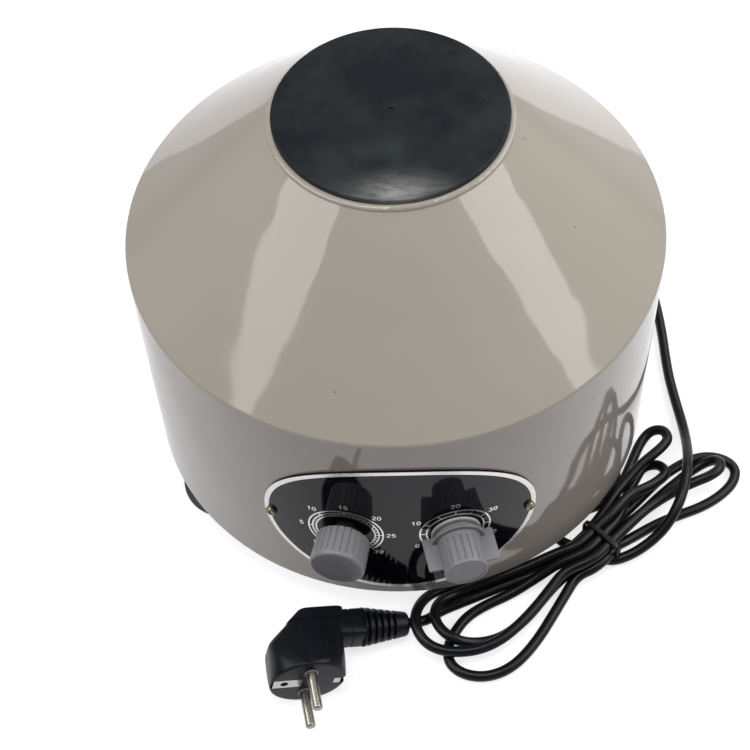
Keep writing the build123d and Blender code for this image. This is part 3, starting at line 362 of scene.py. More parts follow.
def fullTurn(count):
    return np.linspace(0, 2 * pi, count, endpoint=False)


# Faces of a grid of rows x columns: each cell joins a point to its right and lower neighbours,
# and the columns or rows may close on themselves.
def gridFaces(rows, columns, closeRows=False, closeColumns=True):
    i = np.arange(rows if closeRows else rows - 1)
    j = np.arange(columns if closeColumns else columns - 1)
    i, j = np.meshgrid(i, j, indexing="ij")
    corners = [(i + down) % rows * columns + (j + right) % columns
               for down, right in ((0, 0), (0, 1), (1, 1), (1, 0))]
    return np.stack(corners, axis=-1).reshape(-1, 4).tolist()


# Faces of a tube of rows with a flat cap over each end.
def cappedFaces(rows, columns):
    last = (rows - 1) * columns
    caps = [list(range(columns))[::-1], list(range(last, last + columns))]
    return gridFaces(rows, columns) + caps


def unit(vectors):
    return vectors / np.linalg.norm(vectors, axis=1)[:, None]


# Unit vectors a quarter turn to the left of a run of vectors.
def leftOf(run):
    x, y = unit(run).T
    return np.stack([-y, x], axis=1)


# Normals of a closed outline that runs anticlockwise, pointing into it.
def inwardNormals(outline):
    return leftOf(np.roll(outline, -1, axis=0) - np.roll(outline, 1, axis=0))


# A corner (x, y, r) of an outline becomes a quarter-like arc: a quadratic curve from r before the
# corner to r after it, drawn towards the corner.
def roundedOutline(points, steps=6):
    corners = np.array([p[:2] for p in points], float)
    size = [p[2] if len(p) > 2 else 0.0 for p in points]
    before, after = [unit(np.roll(corners, step, axis=0) - corners) for step in (1, -1)]
    t = np.linspace(0, 1, steps)[:, None]
    parts = []
    for corner, back, on, r in zip(corners, before, after, size):
        start, stop = corner + back * r, corner + on * r
        arc = (1 - t) ** 2 * start + 2 * t * (1 - t) * corner + t ** 2 * stop
        parts.append(arc if r else corner[None])
    return np.concatenate(parts)


# A turned surface: each point (r, h) of a closed outline is carried round the axis, so that
# x = (r - d) cos a, y = (r - d) sin a and z = h, where d is a depth cut in at that place.
def turnedMesh(outline, angles, depth=0.0):
    r, h = outline.T[:, :, None]
    points = gridPoints((r - depth) * np.cos(angles), (r - depth) * np.sin(angles), h)
    return points, gridFaces(len(outline), len(angles), closeRows=True)


# cord: the route in millimetres, first the lead and then each loop of the hank, with a pass
# through the tie after it; a pass is (across the tie, height, +1 entering from the loops on the
# right or -1 from those on the left)
cordSettings = {
    "diameter": 5.4,
    "length": 1.938,
    "exit": (0.0, 0.152, 0.030),
    "tieCentre": (96.6, -105.3),
    "tieAngle": 44.0,
    "passReach": 7.0,
    "lead": [
        (0, 152, 30), (0, 168, 30), (6.5, 184, 25.5), (21, 195, 16),
        (43, 197.5, 7), (69, 189.5, 2.9), (95.5, 171.5, 2.7), (117.5, 145.5, 2.7),
        (134, 115, 2.7), (143.5, 80, 2.7), (147.3, 44, 2.7), (147.5, 10, 2.7),
        (149.5, -9, 2.9), (151.5, -24, 3.6), (151.8, -38, 7.5), (150.5, -52, 14.5),
        (148.3, -64, 20), (145.5, -76, 20.6), (140.5, -87.5, 16.8), (133, -97, 10.5),
        (119.8, -105.3, 4.6), (105.5, -110, 2.8),
    ],
    "shortRightLoop": [
        (98, -103.5, 2.7), (88.5, -100.5, 2.7), (79.5, -96, 3), (79, -87.5, 3.8), (87.5, -81, 4.5),
        (98.6, -78.6, 4.4), (108.6, -73.6, 4.2), (115.9, -64.2, 4.1), (120.2, -54.8, 3.2), (124, -46, 3),
        (128, -38, 4.4), (133.5, -32.5, 7.2), (140, -34, 10.4), (142, -41, 12), (137.5, -47, 12.8),
        (131.5, -52, 12.4), (125, -57, 10.8), (118.5, -63.5, 9.4), (112, -71.5, 8.8), (105.3, -82.2, 8.6),
    ],
    "innerLeftLoop": [
        (82, -106.5, 6), (68, -109.5, 3), (52.5, -115, 2.7), (36.5, -119, 2.7), (22.5, -122.5, 2.8),
        (12, -128, 4.6), (6, -139, 9.2), (6, -149, 10.6), (10.5, -156.5, 9.2), (18, -160.5, 8.3),
        (28, -161.5, 8.2), (38, -160, 8.2), (47.5, -155.5, 8.2), (56.5, -148, 8.2), (65.5, -138.5, 8.4),
        (74, -127.8, 9), (81.5, -118.6, 10.6),
    ],
    "longRightLoop": [
        (115.5, -93.2, 10.4), (124.5, -84, 9.8), (134.5, -76.5, 9.2), (144, -71, 9.4), (152.5, -67.5, 10.6),
        (160.5, -65, 12), (167, -60.5, 12.4), (167.5, -53.5, 9.8), (162, -51.5, 5.6), (154, -55, 3),
        (146, -61.5, 2.7), (135.5, -70.5, 2.8), (124, -82, 3.2), (113.5, -91.2, 5.4),
    ],
    "middleLeftLoop": [
        (81, -118.5, 4), (71.5, -128.5, 2.7), (63, -139.5, 2.7), (53, -148.5, 2.7), (44, -153, 2.8),
        (34, -155, 4.4), (25, -155, 8.6), (17.5, -148.5, 8.9), (15, -140.5, 8.9), (18.5, -131.5, 5.8),
        (27.5, -126.2, 3.4), (38.5, -123, 5.4), (50, -119.3, 7.6), (64, -114.2, 8.6), (79, -108.2, 11.2),
    ],
    "foldedRightLoop": [
        (103.5, -91.5, 14), (109, -86.4, 15), (117.5, -76.5, 14), (126.5, -70.5, 10.2), (133.5, -66, 9),
        (139.5, -60.5, 8.4), (136.5, -53, 6), (127.8, -52.5, 3.2), (123, -61, 2.8), (118.5, -69.5, 4.4),
        (115, -79.5, 8.6), (111.4, -89, 10),
    ],
    "outerLeftLoop": [
        (79.5, -113.6, 10.6), (67.5, -119.6, 5.4), (54.5, -127, 2.8), (41.5, -133, 2.7),
        (31.5, -139.5, 2.7), (25, -148.5, 2.7), (21.5, -157, 2.7), (22.5, -165.5, 2.7), (29.5, -171, 2.7),
        (39.5, -172.5, 2.7), (49.5, -169.5, 2.7), (58, -163, 2.7), (67, -152, 2.7), (74.5, -140, 2.7),
        (81.5, -128.5, 2.8), (88, -118.5, 5),
    ],
    "outerRightLoop": [
        (109, -101.5, 4.2), (118.1, -95.9, 3), (132, -87.5, 2.7), (144, -82.5, 2.7), (156, -78, 2.7),
        (166.5, -71.5, 2.7), (174.5, -63.5, 2.7), (177, -54.5, 2.7), (170.5, -48, 2.7), (160, -46.5, 2.7),
        (149.5, -50.5, 2.7), (138.5, -58, 2.7), (129.5, -67, 2.7), (120.5, -76.5, 2.8), (109.9, -87.4, 4.4),
    ],
    "tail": [
        (82, -110.5, 5.4), (68.5, -115.5, 2.8), (52.5, -121.5, 2.7), (38.5, -127.5, 2.7),
        (26.5, -132.5, 2.7), (17.5, -136.5, 2.8), (10.9, -142.1, 3.3), (2.4, -143.8, 5.5),
    ],
    "order": [
        ("lead", None), ("shortRightLoop", (-8.25, 8.1, 1)), ("innerLeftLoop", (5.5, 12.85, -1)),
        ("longRightLoop", (2.75, 8.1, 1)), ("middleLeftLoop", (-5.5, 12.85, -1)),
        ("foldedRightLoop", (0.0, 12.85, 1)), ("outerLeftLoop", (8.25, 8.1, -1)),
        ("outerRightLoop", (-2.75, 8.1, 1)), ("tail", None),
    ],
}


def cordRoute(s):
    turn = radians(s["tieAngle"])
    along, across = Vector((cos(turn), sin(turn))), Vector((sin(turn), -cos(turn)))
    route = []
    for name, tiePass in s["order"]:
        route += s[name]
        if tiePass:
            offset, height, side = tiePass
            for reach in (side * s["passReach"], -side * s["passReach"]):
                place = Vector(s["tieCentre"]) + offset * across + reach * along
                route.append((place.x, place.y, height))
    return route


def makeCord(s):
    curve = bpy.data.curves.new("mains_cord", "CURVE")
    curve.dimensions = "3D"
    curve.bevel_depth = 1.0
    curve.bevel_resolution = 6
    curve.use_fill_caps = True
    spline = curve.splines.new("NURBS")
    route = cordRoute(s)
    spline.points.add(len(route) - 1)
    for point, place in zip(spline.points, route):
        point.co = (*(c / 1000 for c in place), 1.0)
        point.radius = s["diameter"] / 2000          # the bevel is one metre, scaled by this
    spline.order_u = 3
    spline.use_endpoint_u = True
    spline.resolution_u = 8
    cord = sceneObject("mains_cord", curve)
    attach(cord, "casing")
    return cord


cord = makeCord(cordSettings)
cord.data.materials.append(finishes["cordSheath"])
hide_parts("cord_lead", "cord_hank")
print("cord laid:", len(cord.data.splines[0].points), "points")


# Places on the drum: a control's own frame has X to the right, Y up and Z out through the wall at
# an arc measured round the drum from its front.
drumSettings = {"radius": 130.0, "panelFront": 131.05, "controlArc": 26.0, "controlHeight": 70.0}


def placeFrom(right, up, out, origin):
    place = np.eye(4)
    place[:3] = np.stack([right, up, out, origin], axis=1)
    return place


def controlPlace(s, side):
    turn = side * s["controlArc"] / s["radius"]
    right, out = (cos(turn), sin(turn), 0.0), (sin(turn), -cos(turn), 0.0)
    return placeFrom(right, (0.0, 0.0, 1.0), out, (0.0, 0.0, s["controlHeight"]))


# A flat drawing is wrapped on the drum: x becomes an arc, so the turn is x / radius, and y is the
# height above the bench.
def wrapped(points, lift):
    points = np.asarray(points, float)
    turn = points[..., 0] / drumSettings["radius"]
    reach = drumSettings["panelFront"] + lift
    return np.stack([reach * np.sin(turn), -reach * np.cos(turn), points[..., 1]], axis=-1)


# A ribbed turned surface: the depth cut in is that of a rounded groove, which repeats round the
# axis, fades in and out along it, and leaves the walls of the cavity and the bore smooth.
def ribbedMesh(outline, s, low, high):
    share = s["grooveShare"]
    cuts = np.linspace(-0.5, 0.5, 9) * share
    lands = np.linspace(0.5 * share, 1 - 0.5 * share, 6)[1:-1]
    groove = np.concatenate([np.sqrt(np.clip(1 - (2 * cuts / share) ** 2, 0, 1)), np.zeros(len(lands))])
    steps = np.concatenate([cuts, lands])
    angles = ((np.arange(s["ribs"])[:, None] + steps) * 2 * pi / s["ribs"]).ravel()
    r, z = outline.T[:, :, None]
    along = np.clip((z - low) / s["ribFade"], 0, 1) * np.clip((high - z) / s["ribFade"], 0, 1)
    depth = s["grooveDepth"] * np.tile(groove, s["ribs"]) * along * (r > s["cavity"][0])
    return turnedMesh(outline, angles, depth)


# A slab: an outline in X and Y, carried through levels, each a height and how far the outline is
# drawn in along its own normals; both ends are flat.
def slabMesh(outline, levels):
    levels = np.asarray(levels, float)
    flat = outline[None] + levels[:, 1][:, None, None] * inwardNormals(outline)[None]
    points = gridPoints(flat[..., 0], flat[..., 1], levels[:, 0][:, None])
    return points, cappedFaces(len(levels), len(outline))


# Heights and insets of a slab whose two edges are rounded by a quarter circle.
def roundedLevels(bottom, top, radius, steps=5):
    t = np.linspace(0, pi / 2, steps)
    low = np.stack([bottom + radius * (1 - np.cos(t)), radius * (1 - np.sin(t))], axis=1)
    high = np.stack([top - radius * (1 - np.cos(t)), radius * (1 - np.sin(t))], axis=1)[::-1]
    return np.concatenate([low, high])


# A rounded rectangle: |x/a|^n + |y/b|^n = 1, with x = a sgn(cos t) |cos t|^(2/n).
def superOutline(halfWidth, halfHeight, power, count):
    t = fullTurn(count)
    x = halfWidth * np.sign(np.cos(t)) * np.abs(np.cos(t)) ** (2 / power)
    y = halfHeight * np.sign(np.sin(t)) * np.abs(np.sin(t)) ** (2 / power)
    return np.stack([x, y], axis=1)


def joinedMesh(parts):
    points, faces, start = [], [], 0
    for partPoints, partFaces in parts:
        points.append(partPoints)
        faces += [[i + start for i in face] for face in partFaces]
        start += len(partPoints)
    return np.concatenate(points), faces


# knobs, each an outline turned round Z in the control's frame; heights are from the drum's axis
timerKnobSettings = {
    "radius": 13.25, "backRadius": 12.8, "backRound": 0.3, "front": 151.0, "back": 135.3, "frontRound": 1.5,
    "ribs": 26, "grooveDepth": 0.55, "grooveShare": 0.30, "ribFade": 0.35, "smoothBand": 2.4,
    "boreRadius": 3.15, "cap": 3.9, "cavity": (7.6, 3.0),
}
speedKnobSettings = {
    "radius": 10.4, "front": 154.5, "faceRim": 1.3, "faceDepth": 0.5, "faceRound": 0.2, "frontRound": 0.8,
    "ribs": 20, "grooveDepth": 0.6, "grooveShare": 0.32, "ribFade": 0.4, "ribStart": 139.9,
    "ribStop": 152.8, "skirtRadius": 12.9, "skirt": (135.9, 137.4), "skirtRounds": (0.3, 0.5),
    "collarRadius": 10.0, "back": 133.0, "boreRadius": 3.15, "cap": 4.9, "cavity": (7.6, 4.0),
    "wingReach": 17.0, "wingSunk": 1.2, "wingThickness": 1.7, "wingRound": 0.45, "wingPower": 14.0,
    "wing": (133.4, 150.6),
}


# The inside of a knob's outline: a cavity at its back, then a bore for the shaft up to its cap.
def knobInside(s):
    (radius, depth), bore = s["cavity"], s["boreRadius"]
    wall, cap = s["back"] + depth, s["front"] - s["cap"]
    return [(radius, s["back"]), (radius, wall), (bore, wall), (bore, cap), (0, cap)]


def makeTimerKnob(s):
    radius, back, front = s["radius"], s["back"], s["front"]
    step = front - s["smoothBand"]
    outline = roundedOutline([
        (0, front), (radius, front, s["frontRound"]), (radius, step), (radius, step - s["ribFade"]),
        (s["backRadius"], back + 2 * s["backRound"]), (s["backRadius"], back, s["backRound"]),
        *knobInside(s)], steps=8)
    shape, place = ribbedMesh(outline, s, back - 1, step), controlPlace(drumSettings, -1)
    knob = meshPiece("timer_knob_grip", shape, "greyPlastic", "timer_control", place)
    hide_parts("timer_knob")


# Two equal wings, each a thin rounded slab that stands on edge and starts inside the barrel.
def wingParts(s):
    low, high = s["wing"]
    start = s["radius"] - s["wingSunk"]
    reach, half = (s["wingReach"] - start) / 2, s["wingThickness"] / 2
    outline = superOutline(reach, (high - low) / 2, s["wingPower"], 96)
    flat, faces = slabMesh(outline, roundedLevels(-half, half, s["wingRound"]))
    x, y, z = flat.T
    middle, height = start + reach, y + (low + high) / 2
    return [(np.stack([x + side * middle, -z, height], axis=1), faces) for side in (-1, 1)]


def makeSpeedKnob(s):
    radius, back, front = s["radius"], s["back"], s["front"]
    skirt, (low, high), (lowRound, highRound) = s["skirtRadius"], s["skirt"], s["skirtRounds"]
    inner, face, rim = radius - s["faceRim"], front - s["faceDepth"], s["faceRound"]
    start, stop, fade = s["ribStart"], s["ribStop"], s["ribFade"]
    outline = roundedOutline([
        (0, face), (inner, face, rim), (inner, front, rim), (radius, front, s["frontRound"]),
        (radius, stop), (radius, stop - fade), (radius, start + fade), (radius, start),
        (radius, high, highRound), (skirt, high, highRound), (skirt, low, lowRound),
        (s["collarRadius"], low), (s["collarRadius"], back), *knobInside(s)])
    shape = joinedMesh([ribbedMesh(outline, s, start, stop)] + wingParts(s))
    place = controlPlace(drumSettings, 1)
    knob = meshPiece("speed_knob_grip", shape, "greyPlastic", "speed_control", place)
    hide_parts("speed_knob")


makeTimerKnob(timerKnobSettings)
makeSpeedKnob(speedKnobSettings)


# pale washer between the panel and the winged knob
washerSettings = {
    "inner": 8.5, "outer": 12.0, "low": 131.2, "high": 132.6, "lowRound": 0.3, "highRound": 0.5,
    "innerRound": 0.2,
}


def makeWasher(s):
    outline = roundedOutline([
        (s["inner"], s["low"]), (s["outer"], s["low"], s["lowRound"]),
        (s["outer"], s["high"], s["highRound"]), (s["inner"], s["high"], s["innerRound"])])
    shape, place = turnedMesh(outline, fullTurn(96)), controlPlace(drumSettings, 1)
    washer = meshPiece("speed_washer", shape, "paleDisc", "casing", place)


makeWasher(washerSettings)
print("knobs made")


# panel print: everything is a thin closed layer just proud of the plate
panelSettings = {
    "arcHalf": 67.2, "halfHeight": 53.0, "middle": 72.8, "border": 2.5, "borderInset": 0.25,
    "lift": (0.01, 0.06), "digitHeight": 3.05, "digitAdvance": 0.80, "digitShift": 0.03, "digitOut": 0.4,
    "pen": 0.52,
}
timerDial = {
    "side": -1, "rings": [(17.9, 0.8), (16.0, 0.65), (14.1, 0.6)], "sweep": (225.0, -45.0),
    "marks": [(45.0, 16.0, 17.9, 0.7), (9.0, 14.1, 16.0, 0.55)], "digitRadius": 21.0,
    "numbers": ["0", "5", "10", "15", "20", "25", "30"],
}
speedDial = {
    "side": 1, "rings": [(16.9, 0.8), (13.8, 0.7)], "sweep": (210.0, -30.0),
    "marks": [(30.0, 13.8, 16.9, 0.7)], "digitRadius": 20.4,
    "numbers": ["0", "10", "20", "30", "40"],
}


# A printed line: the space between an inner and an outer curve, given a bottom and a top, which
# is a square section carried along the curves.
def stripMesh(inner, outer, lift, closed=False):
    low, high = lift
    ring = np.stack([wrapped(inner, low), wrapped(outer, low), wrapped(outer, high), wrapped(inner, high)])
    count = len(inner)
    faces = gridFaces(4, count, closeRows=True, closeColumns=closed)
    if not closed:
        ends = np.arange(4) * count
        faces += [ends.tolist(), (ends[::-1] + count - 1).tolist()]
    return ring.reshape(-1, 3), faces


def dialCentre(dial):
    return np.array([dial["side"] * drumSettings["controlArc"], drumSettings["controlHeight"]])


def around(centre, radius, degrees):
    turn = np.radians(degrees)
    return centre + radius * np.stack([np.cos(turn), np.sin(turn)], axis=-1)


# A dial: each ring (radius, width) is an arc about its centre, and its marks (step in degrees, inner
# and outer radius, width) are short lines across the rings.
def dialMesh(s, dial):
    centre = dialCentre(dial)
    start, stop = dial["sweep"]
    parts = []
    sweep = np.linspace(start, stop, 121)
    for radius, width in dial["rings"]:
        inner, outer = [around(centre, radius + side * width / 2, sweep) for side in (-1, 1)]
        parts.append(stripMesh(inner, outer, s["lift"]))
    for step, low, high, width in dial["marks"]:
        for degrees in np.linspace(start, stop, round((start - stop) / step) + 1):
            side = np.array([-sin(radians(degrees)), cos(radians(degrees))]) * width / 2
            line = around(centre, np.array([[low], [high]]), np.array([degrees, degrees]))
            parts.append(stripMesh(line - side, line + side, s["lift"]))
    return parts


# Digits are drawn with a pen of one width in a box one high: each stroke is a run of points, and a curved
# stroke is an arc given as (centre x, centre y, half width, half height, start, stop) in degrees.
digitStrokes = {
    "0": [("arc", 0.30, 0.50, 0.26, 0.46, 0, 360)],
    "1": [("run", (0.34, 0.0), (0.34, 1.0)), ("run", (0.34, 0.97), (0.12, 0.76))],
    "2": [("arc", 0.30, 0.71, 0.25, 0.25, 175, -38), ("run", (0.50, 0.58), (0.06, 0.06)),
          ("run", (0.02, 0.05), (0.58, 0.05))],
    "3": [("arc", 0.28, 0.74, 0.22, 0.22, 160, -90), ("arc", 0.28, 0.28, 0.26, 0.24, 90, -165)],
    "4": [("run", (0.44, 0.0), (0.44, 1.0)), ("run", (0.44, 0.98), (0.03, 0.30)),
          ("run", (0.0, 0.27), (0.62, 0.27))],
    "5": [("run", (0.54, 0.95), (0.12, 0.95)), ("run", (0.13, 0.99), (0.08, 0.50)),
          ("arc", 0.29, 0.32, 0.26, 0.28, 140, -155)],
}


# A pen stroke: its middle line moved half its width to each side along the normals.
def strokeMesh(points, width, lift):
    side = leftOf(np.gradient(points, axis=0)) * width / 2
    return stripMesh(points - side, points + side, lift)


# The points of a stroke's middle line, in the digit's own box.
def strokeLine(kind, *stroke):
    if kind == "run":
        return np.array(stroke)
    x, y, halfWide, halfTall, first, last = stroke
    turn = np.radians(np.linspace(first, last, 33))
    return np.stack([x + halfWide * np.cos(turn), y + halfTall * np.sin(turn)], axis=1)


# Each number stands at its own angle on the dial, farther out the more digits it has.
def digitMesh(s, dial):
    tall, shift = s["digitHeight"], np.array([s["digitShift"], 0.0])
    parts = []
    for number, degrees in zip(dial["numbers"], np.linspace(*dial["sweep"], len(dial["numbers"]))):
        spot = around(dialCentre(dial), dial["digitRadius"] + s["digitOut"] * len(number), degrees)
        for place, digit in enumerate(number):
            corner = spot + np.array([(place - len(number) / 2) * s["digitAdvance"] * tall, -tall / 2])
            for stroke in digitStrokes[digit]:
                line = corner + tall * (strokeLine(*stroke) + shift)
                parts.append(strokeMesh(line, s["pen"], s["lift"]))
    return parts


# The panel's ellipse, drawn in by an inset.
def panelEllipse(s, inset):
    t = fullTurn(240)
    x, y = (s["arcHalf"] - inset) * np.cos(t), (s["halfHeight"] - inset) * np.sin(t)
    return np.stack([x, s["middle"] + y], axis=1)


def makePanelPrint(s):
    inner, outer = panelEllipse(s, s["borderInset"] + s["border"]), panelEllipse(s, s["borderInset"])
    border = [stripMesh(inner, outer, s["lift"], closed=True)]
    dials = []
    for dial in (timerDial, speedDial):
        dials += dialMesh(s, dial) + digitMesh(s, dial)
    prints = (("panel_border", border, "silverPrint"), ("panel_dials", dials, "whitePrint"))
    for name, parts, finish in prints:
        piece = meshPiece(name, joinedMesh(parts), finish, "casing")


makePanelPrint(panelSettings)
print("panel printed")


# plug, in its own frame: Z along the pins, X towards the cord's outlet, origin on the face
plugSettings = {
    "face": (-46.0, -181.5, 19.0), "heading": -79.1, "roll": 14.0, "radius": 18.6, "depth": 36.0,
    "edge": 1.1, "shoulderStart": 19.0, "shoulder": 18.6, "shoulderBlend": 1.6, "flare": 4.0, "backHalf": 9.5,
    "lowFrom": 0.80, "powers": (2.0, 6.5), "ledge": (6.2, 0.6, 0.25), "ledgeFade": 14.0, "band": (-1.5, 9.5),
    "bandRise": 0.4, "bandSlope": 0.6, "bandEnds": (2.0, 1.5), "bandGap": 1, "bandTurn": 3,
    "neckDepth": 27.6, "neckStart": 12.0, "neckEnd": 33.0, "neckHalf": (8.2, 8.4), "neckPower": 3.6,
    "neckGroove": [(24.6, 0.0), (24.8, 0.35), (25.6, 0.35), (25.8, 0.0)],
    "neckRound": [(0.8, 0.0), (0.2, 0.25), (0.0, 0.9)],
    "reliefEnd": 55.7, "reliefRadii": (9.7, 5.88), "reliefSunk": 1.0, "reliefRound": 1.6, "ribs": 5,
    "collar": 5.6, "grooveDepth": 2.6, "grooveShare": 0.46, "grooveShallow": 0.8, "ribEdge": (2.2, 0.5),
    "pinSpacing": 19.0, "pinHole": (1.95, 8.05), "rootRing": (2.45, 3.35, 0.55), "rootSunk": 0.3,
    "rootRounds": (0.35, 0.2), "pocketPower": 12.0,
    "earthPlate": (14.0, 7.0, 1.25), "earthPlateInset": 1.5, "earthPlateGap": (0.5, 0.15, 0.4),
    "earthClip": (3.2, 4.4), "earthClipInset": 4.2, "earthClipGap": 0.12,
    "notch": (0.5, 1.7, 0.5, 3.4), "cutReach": 2.0, "sharpDegrees": 30,
}


def plugPlace(s):
    heading, roll = radians(s["heading"]), radians(s["roll"])
    out = (cos(heading), sin(heading), 0.0)
    right = (-sin(heading) * cos(roll), cos(heading) * cos(roll), -sin(roll))
    return placeFrom(right, np.cross(out, right), out, s["face"])


# Plug body: a section |x/a|^n + |y/b|^n = 1 carried from the face to the back. Going back, b falls
# smoothly from the face's radius to the back's, n rises so that the circle turns into a rounded
# rectangle, the left side slopes in past a shoulder and the right side flares. Both ends draw in
# over a rounded edge, a ledge stands round the back, and a shallow band runs along both sides.
def plugBodyMesh(s):
    angles = fullTurn(288)
    turn = np.linspace(0, pi / 2, 6)
    edge, radius, depth = s["edge"], s["radius"], s["depth"]
    ledge, step, rise = s["ledge"]
    back = np.concatenate([
        edge * (1 - np.cos(turn)), np.linspace(edge, ledge, 7)[1:],
        np.linspace(ledge + rise, depth - edge, 34), depth - edge + edge * np.sin(turn)[1:]])
    share = 1 - back / depth
    near = np.clip(np.minimum(back, depth - back), 0, edge)
    inset = edge - np.sqrt(edge ** 2 - (edge - near) ** 2)
    inset += step * np.clip((back - ledge) / rise, 0, 1) * np.clip((depth - back) / s["ledgeFade"], 0, 1)
    past = depth - back - s["shoulderStart"]
    past = (past + np.sqrt(past ** 2 + s["shoulderBlend"] ** 2)) / 2
    left = -radius + s["shoulder"] * past / (depth - s["shoulderStart"])
    right = radius + s["flare"] * share
    fall = np.clip(share / s["lowFrom"], 0, 1)
    half = radius - (radius - s["backHalf"]) * fall * fall * (3 - 2 * fall)
    power = 2 / (s["powers"][0] + (s["powers"][1] - s["powers"][0]) * share)[:, None]
    middle, wide = ((left + right) / 2)[:, None], ((right - left) / 2 - inset)[:, None]
    c, d = np.cos(angles)[None], np.sin(angles)[None]
    x = middle + wide * np.sign(c) * np.abs(c) ** power
    y = (half - inset)[:, None] * np.sign(d) * np.abs(d) ** power
    low, high = s["band"]
    slope, (backFade, frontFade) = s["bandSlope"], s["bandEnds"]
    inside = np.clip((x - low) / slope, 0, 1) * np.clip((high - x) / slope, 0, 1)
    ends = np.clip((back - ledge - s["bandGap"]) / backFade, 0, 1)
    ends *= np.clip((depth - back - edge) / frontFade, 0, 1)
    fade = np.clip(np.abs(d) * s["bandTurn"], 0, 1)
    y = y + s["bandRise"] * inside * ends[:, None] * np.sign(d) * fade
    return gridPoints(x, y, (back - depth)[:, None]), cappedFaces(len(back), len(angles))


# Neck: a rounded rectangle carried along X, with a fine groove round it outside the body and a
# rounded end.
def plugNeckMesh(s):
    outline = superOutline(*s["neckHalf"], s["neckPower"], 96)
    end = [(s["neckEnd"] - back, inset) for back, inset in s["neckRound"]]
    flat, faces = slabMesh(outline, [(s["neckStart"], 0.0)] + s["neckGroove"] + end)
    x, y, z = flat.T
    return np.stack([z, x, -y - s["neckDepth"]], axis=1), faces


# Strain relief: a tapered sleeve with a rounded end, r = taper less a groove. The groove repeats
# along it, and its depth swings with |cos 2a|, so that it is shallower on four ribs.
def reliefMesh(s):
    length, tip = s["reliefEnd"] - s["neckEnd"], s["reliefRound"]
    ribbed = length - s["collar"]
    along = np.concatenate([
        np.linspace(-s["reliefSunk"], ribbed, 120), np.linspace(ribbed, length - tip, 8)[1:],
        length - tip + tip * np.sin(np.linspace(0, pi / 2, 8))[1:]])
    angles = fullTurn(96)
    first, last = s["reliefRadii"]
    taper = first + (last - first) * np.clip(along, 0, None) / length
    end = np.clip((along - length + tip) / tip, 0, 1)
    taper = taper - tip * (1 - np.sqrt(1 - np.clip(end, 0, 0.999) ** 2))     # a quarter circle
    phase = (along / (ribbed / s["ribs"])) % 1.0
    half = s["grooveShare"] / 2
    groove = np.sqrt(np.clip(1 - ((phase - half) / half) ** 2, 0, 1)) * ((along > 0) & (along < ribbed))
    shallow, (gain, shift) = s["grooveShallow"], s["ribEdge"]
    sides = shallow + (1 - shallow) * np.clip(np.abs(np.cos(2 * angles)) * gain - shift, 0, 1)
    radius = taper[:, None] - s["grooveDepth"] * groove[:, None] * sides[None]
    y, z = radius * np.cos(angles), radius * np.sin(angles) - s["neckDepth"]
    return gridPoints((s["neckEnd"] + along)[:, None], y, z), cappedFaces(len(along), len(angles))


def cutAway(piece, cutters, place):
    for shape in cutters:
        cutter = mergeClose(sceneObject("cutter", newMesh("cutter", shape, place)))
        cut = piece.modifiers.new("cut", "BOOLEAN")
        cut.operation, cut.solver, cut.object = "DIFFERENCE", "EXACT", cutter
        bpy.context.view_layer.update()
        graph = bpy.context.evaluated_depsgraph_get()
        whole = bpy.data.meshes.new_from_object(piece.evaluated_get(graph))
        piece.modifiers.clear()
        piece.data = whole
        bpy.data.objects.remove(cutter)


# What is cut out of the plug's face: pockets round the earth plate and the earth clip, a notch in
# the rim by the clip, and the two pins' holes. Each is (centre, half width, half height, power of
# its outline, points round it, depth).
def faceCuts(s):
    long, high, deep = s["earthPlate"]
    gapLong, gapHigh, offset = s["earthPlateGap"]
    clipLong, clipHigh = s["earthClip"]
    gap, radius, (hole, holeDepth) = s["earthClipGap"], s["radius"], s["pinHole"]
    notch, notchHalf, notchGap, notchDepth = s["notch"]
    plate, power = s["earthPlateInset"] + long / 2 - radius - offset, s["pocketPower"]
    pins = [((0, side * s["pinSpacing"] / 2), hole, hole, 2.0, 48, holeDepth) for side in (-1, 1)]
    return [
        ((plate, 0), long / 2 + gapLong, high / 2 + gapHigh, power, 64, deep),
        ((radius - s["earthClipInset"], 0), clipLong / 2 + gap, clipHigh / 2 + gap, power, 64, deep),
        ((radius - notch, 0), notchHalf, clipHigh / 2 + notchGap, power, 64, notchDepth),
    ] + pins


# Small collars round the pins' roots.
def collarParts(s):
    inner, outer, proud = s["rootRing"]
    low, (outerRound, innerRound) = -s["rootSunk"], s["rootRounds"]
    outline = [(inner, low), (outer, low), (outer, proud, outerRound), (inner, proud, innerRound)]
    ring = turnedMesh(roundedOutline(outline), fullTurn(48))
    return [shifted(ring, 0.0, side * s["pinSpacing"] / 2) for side in (-1, 1)]


def makePlug(s):
    place = plugPlace(s)
    body = meshPiece("plug_moulding", plugBodyMesh(s), "plugPlastic", "casing", place)
    cutters = []
    for centre, halfWide, halfHigh, power, count, deep in faceCuts(s):
        outline = superOutline(halfWide, halfHigh, power, count)
        cutters.append(shifted(slabMesh(outline, [(-deep, 0), (s["cutReach"], 0)]), *centre))
    cutAway(body, cutters, place)
    body.data.set_sharp_from_angle(angle=radians(s["sharpDegrees"]))
    outlet = joinedMesh([plugNeckMesh(s), reliefMesh(s)])
    neck = meshPiece("plug_neck", outlet, "plugPlastic", "casing", place)
    collars = meshPiece("plug_pin_collars", joinedMesh(collarParts(s)), "greyPlastic", "casing", place)
    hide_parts("plug_body")
    return [body, neck, collars]


# tie: a flat band round the hank. At angle t its middle line is a rounded rectangle, and its own
# section, wider than thick and rounded at the corners, is carried round that line.
tieSettings = {
    "halfWide": 11.5, "halfTall": 5.7, "middle": 10.5, "power": 4.0, "width": 2.6, "thickness": 0.8,
    "sectionPower": 5.0, "along": 6.9,
}


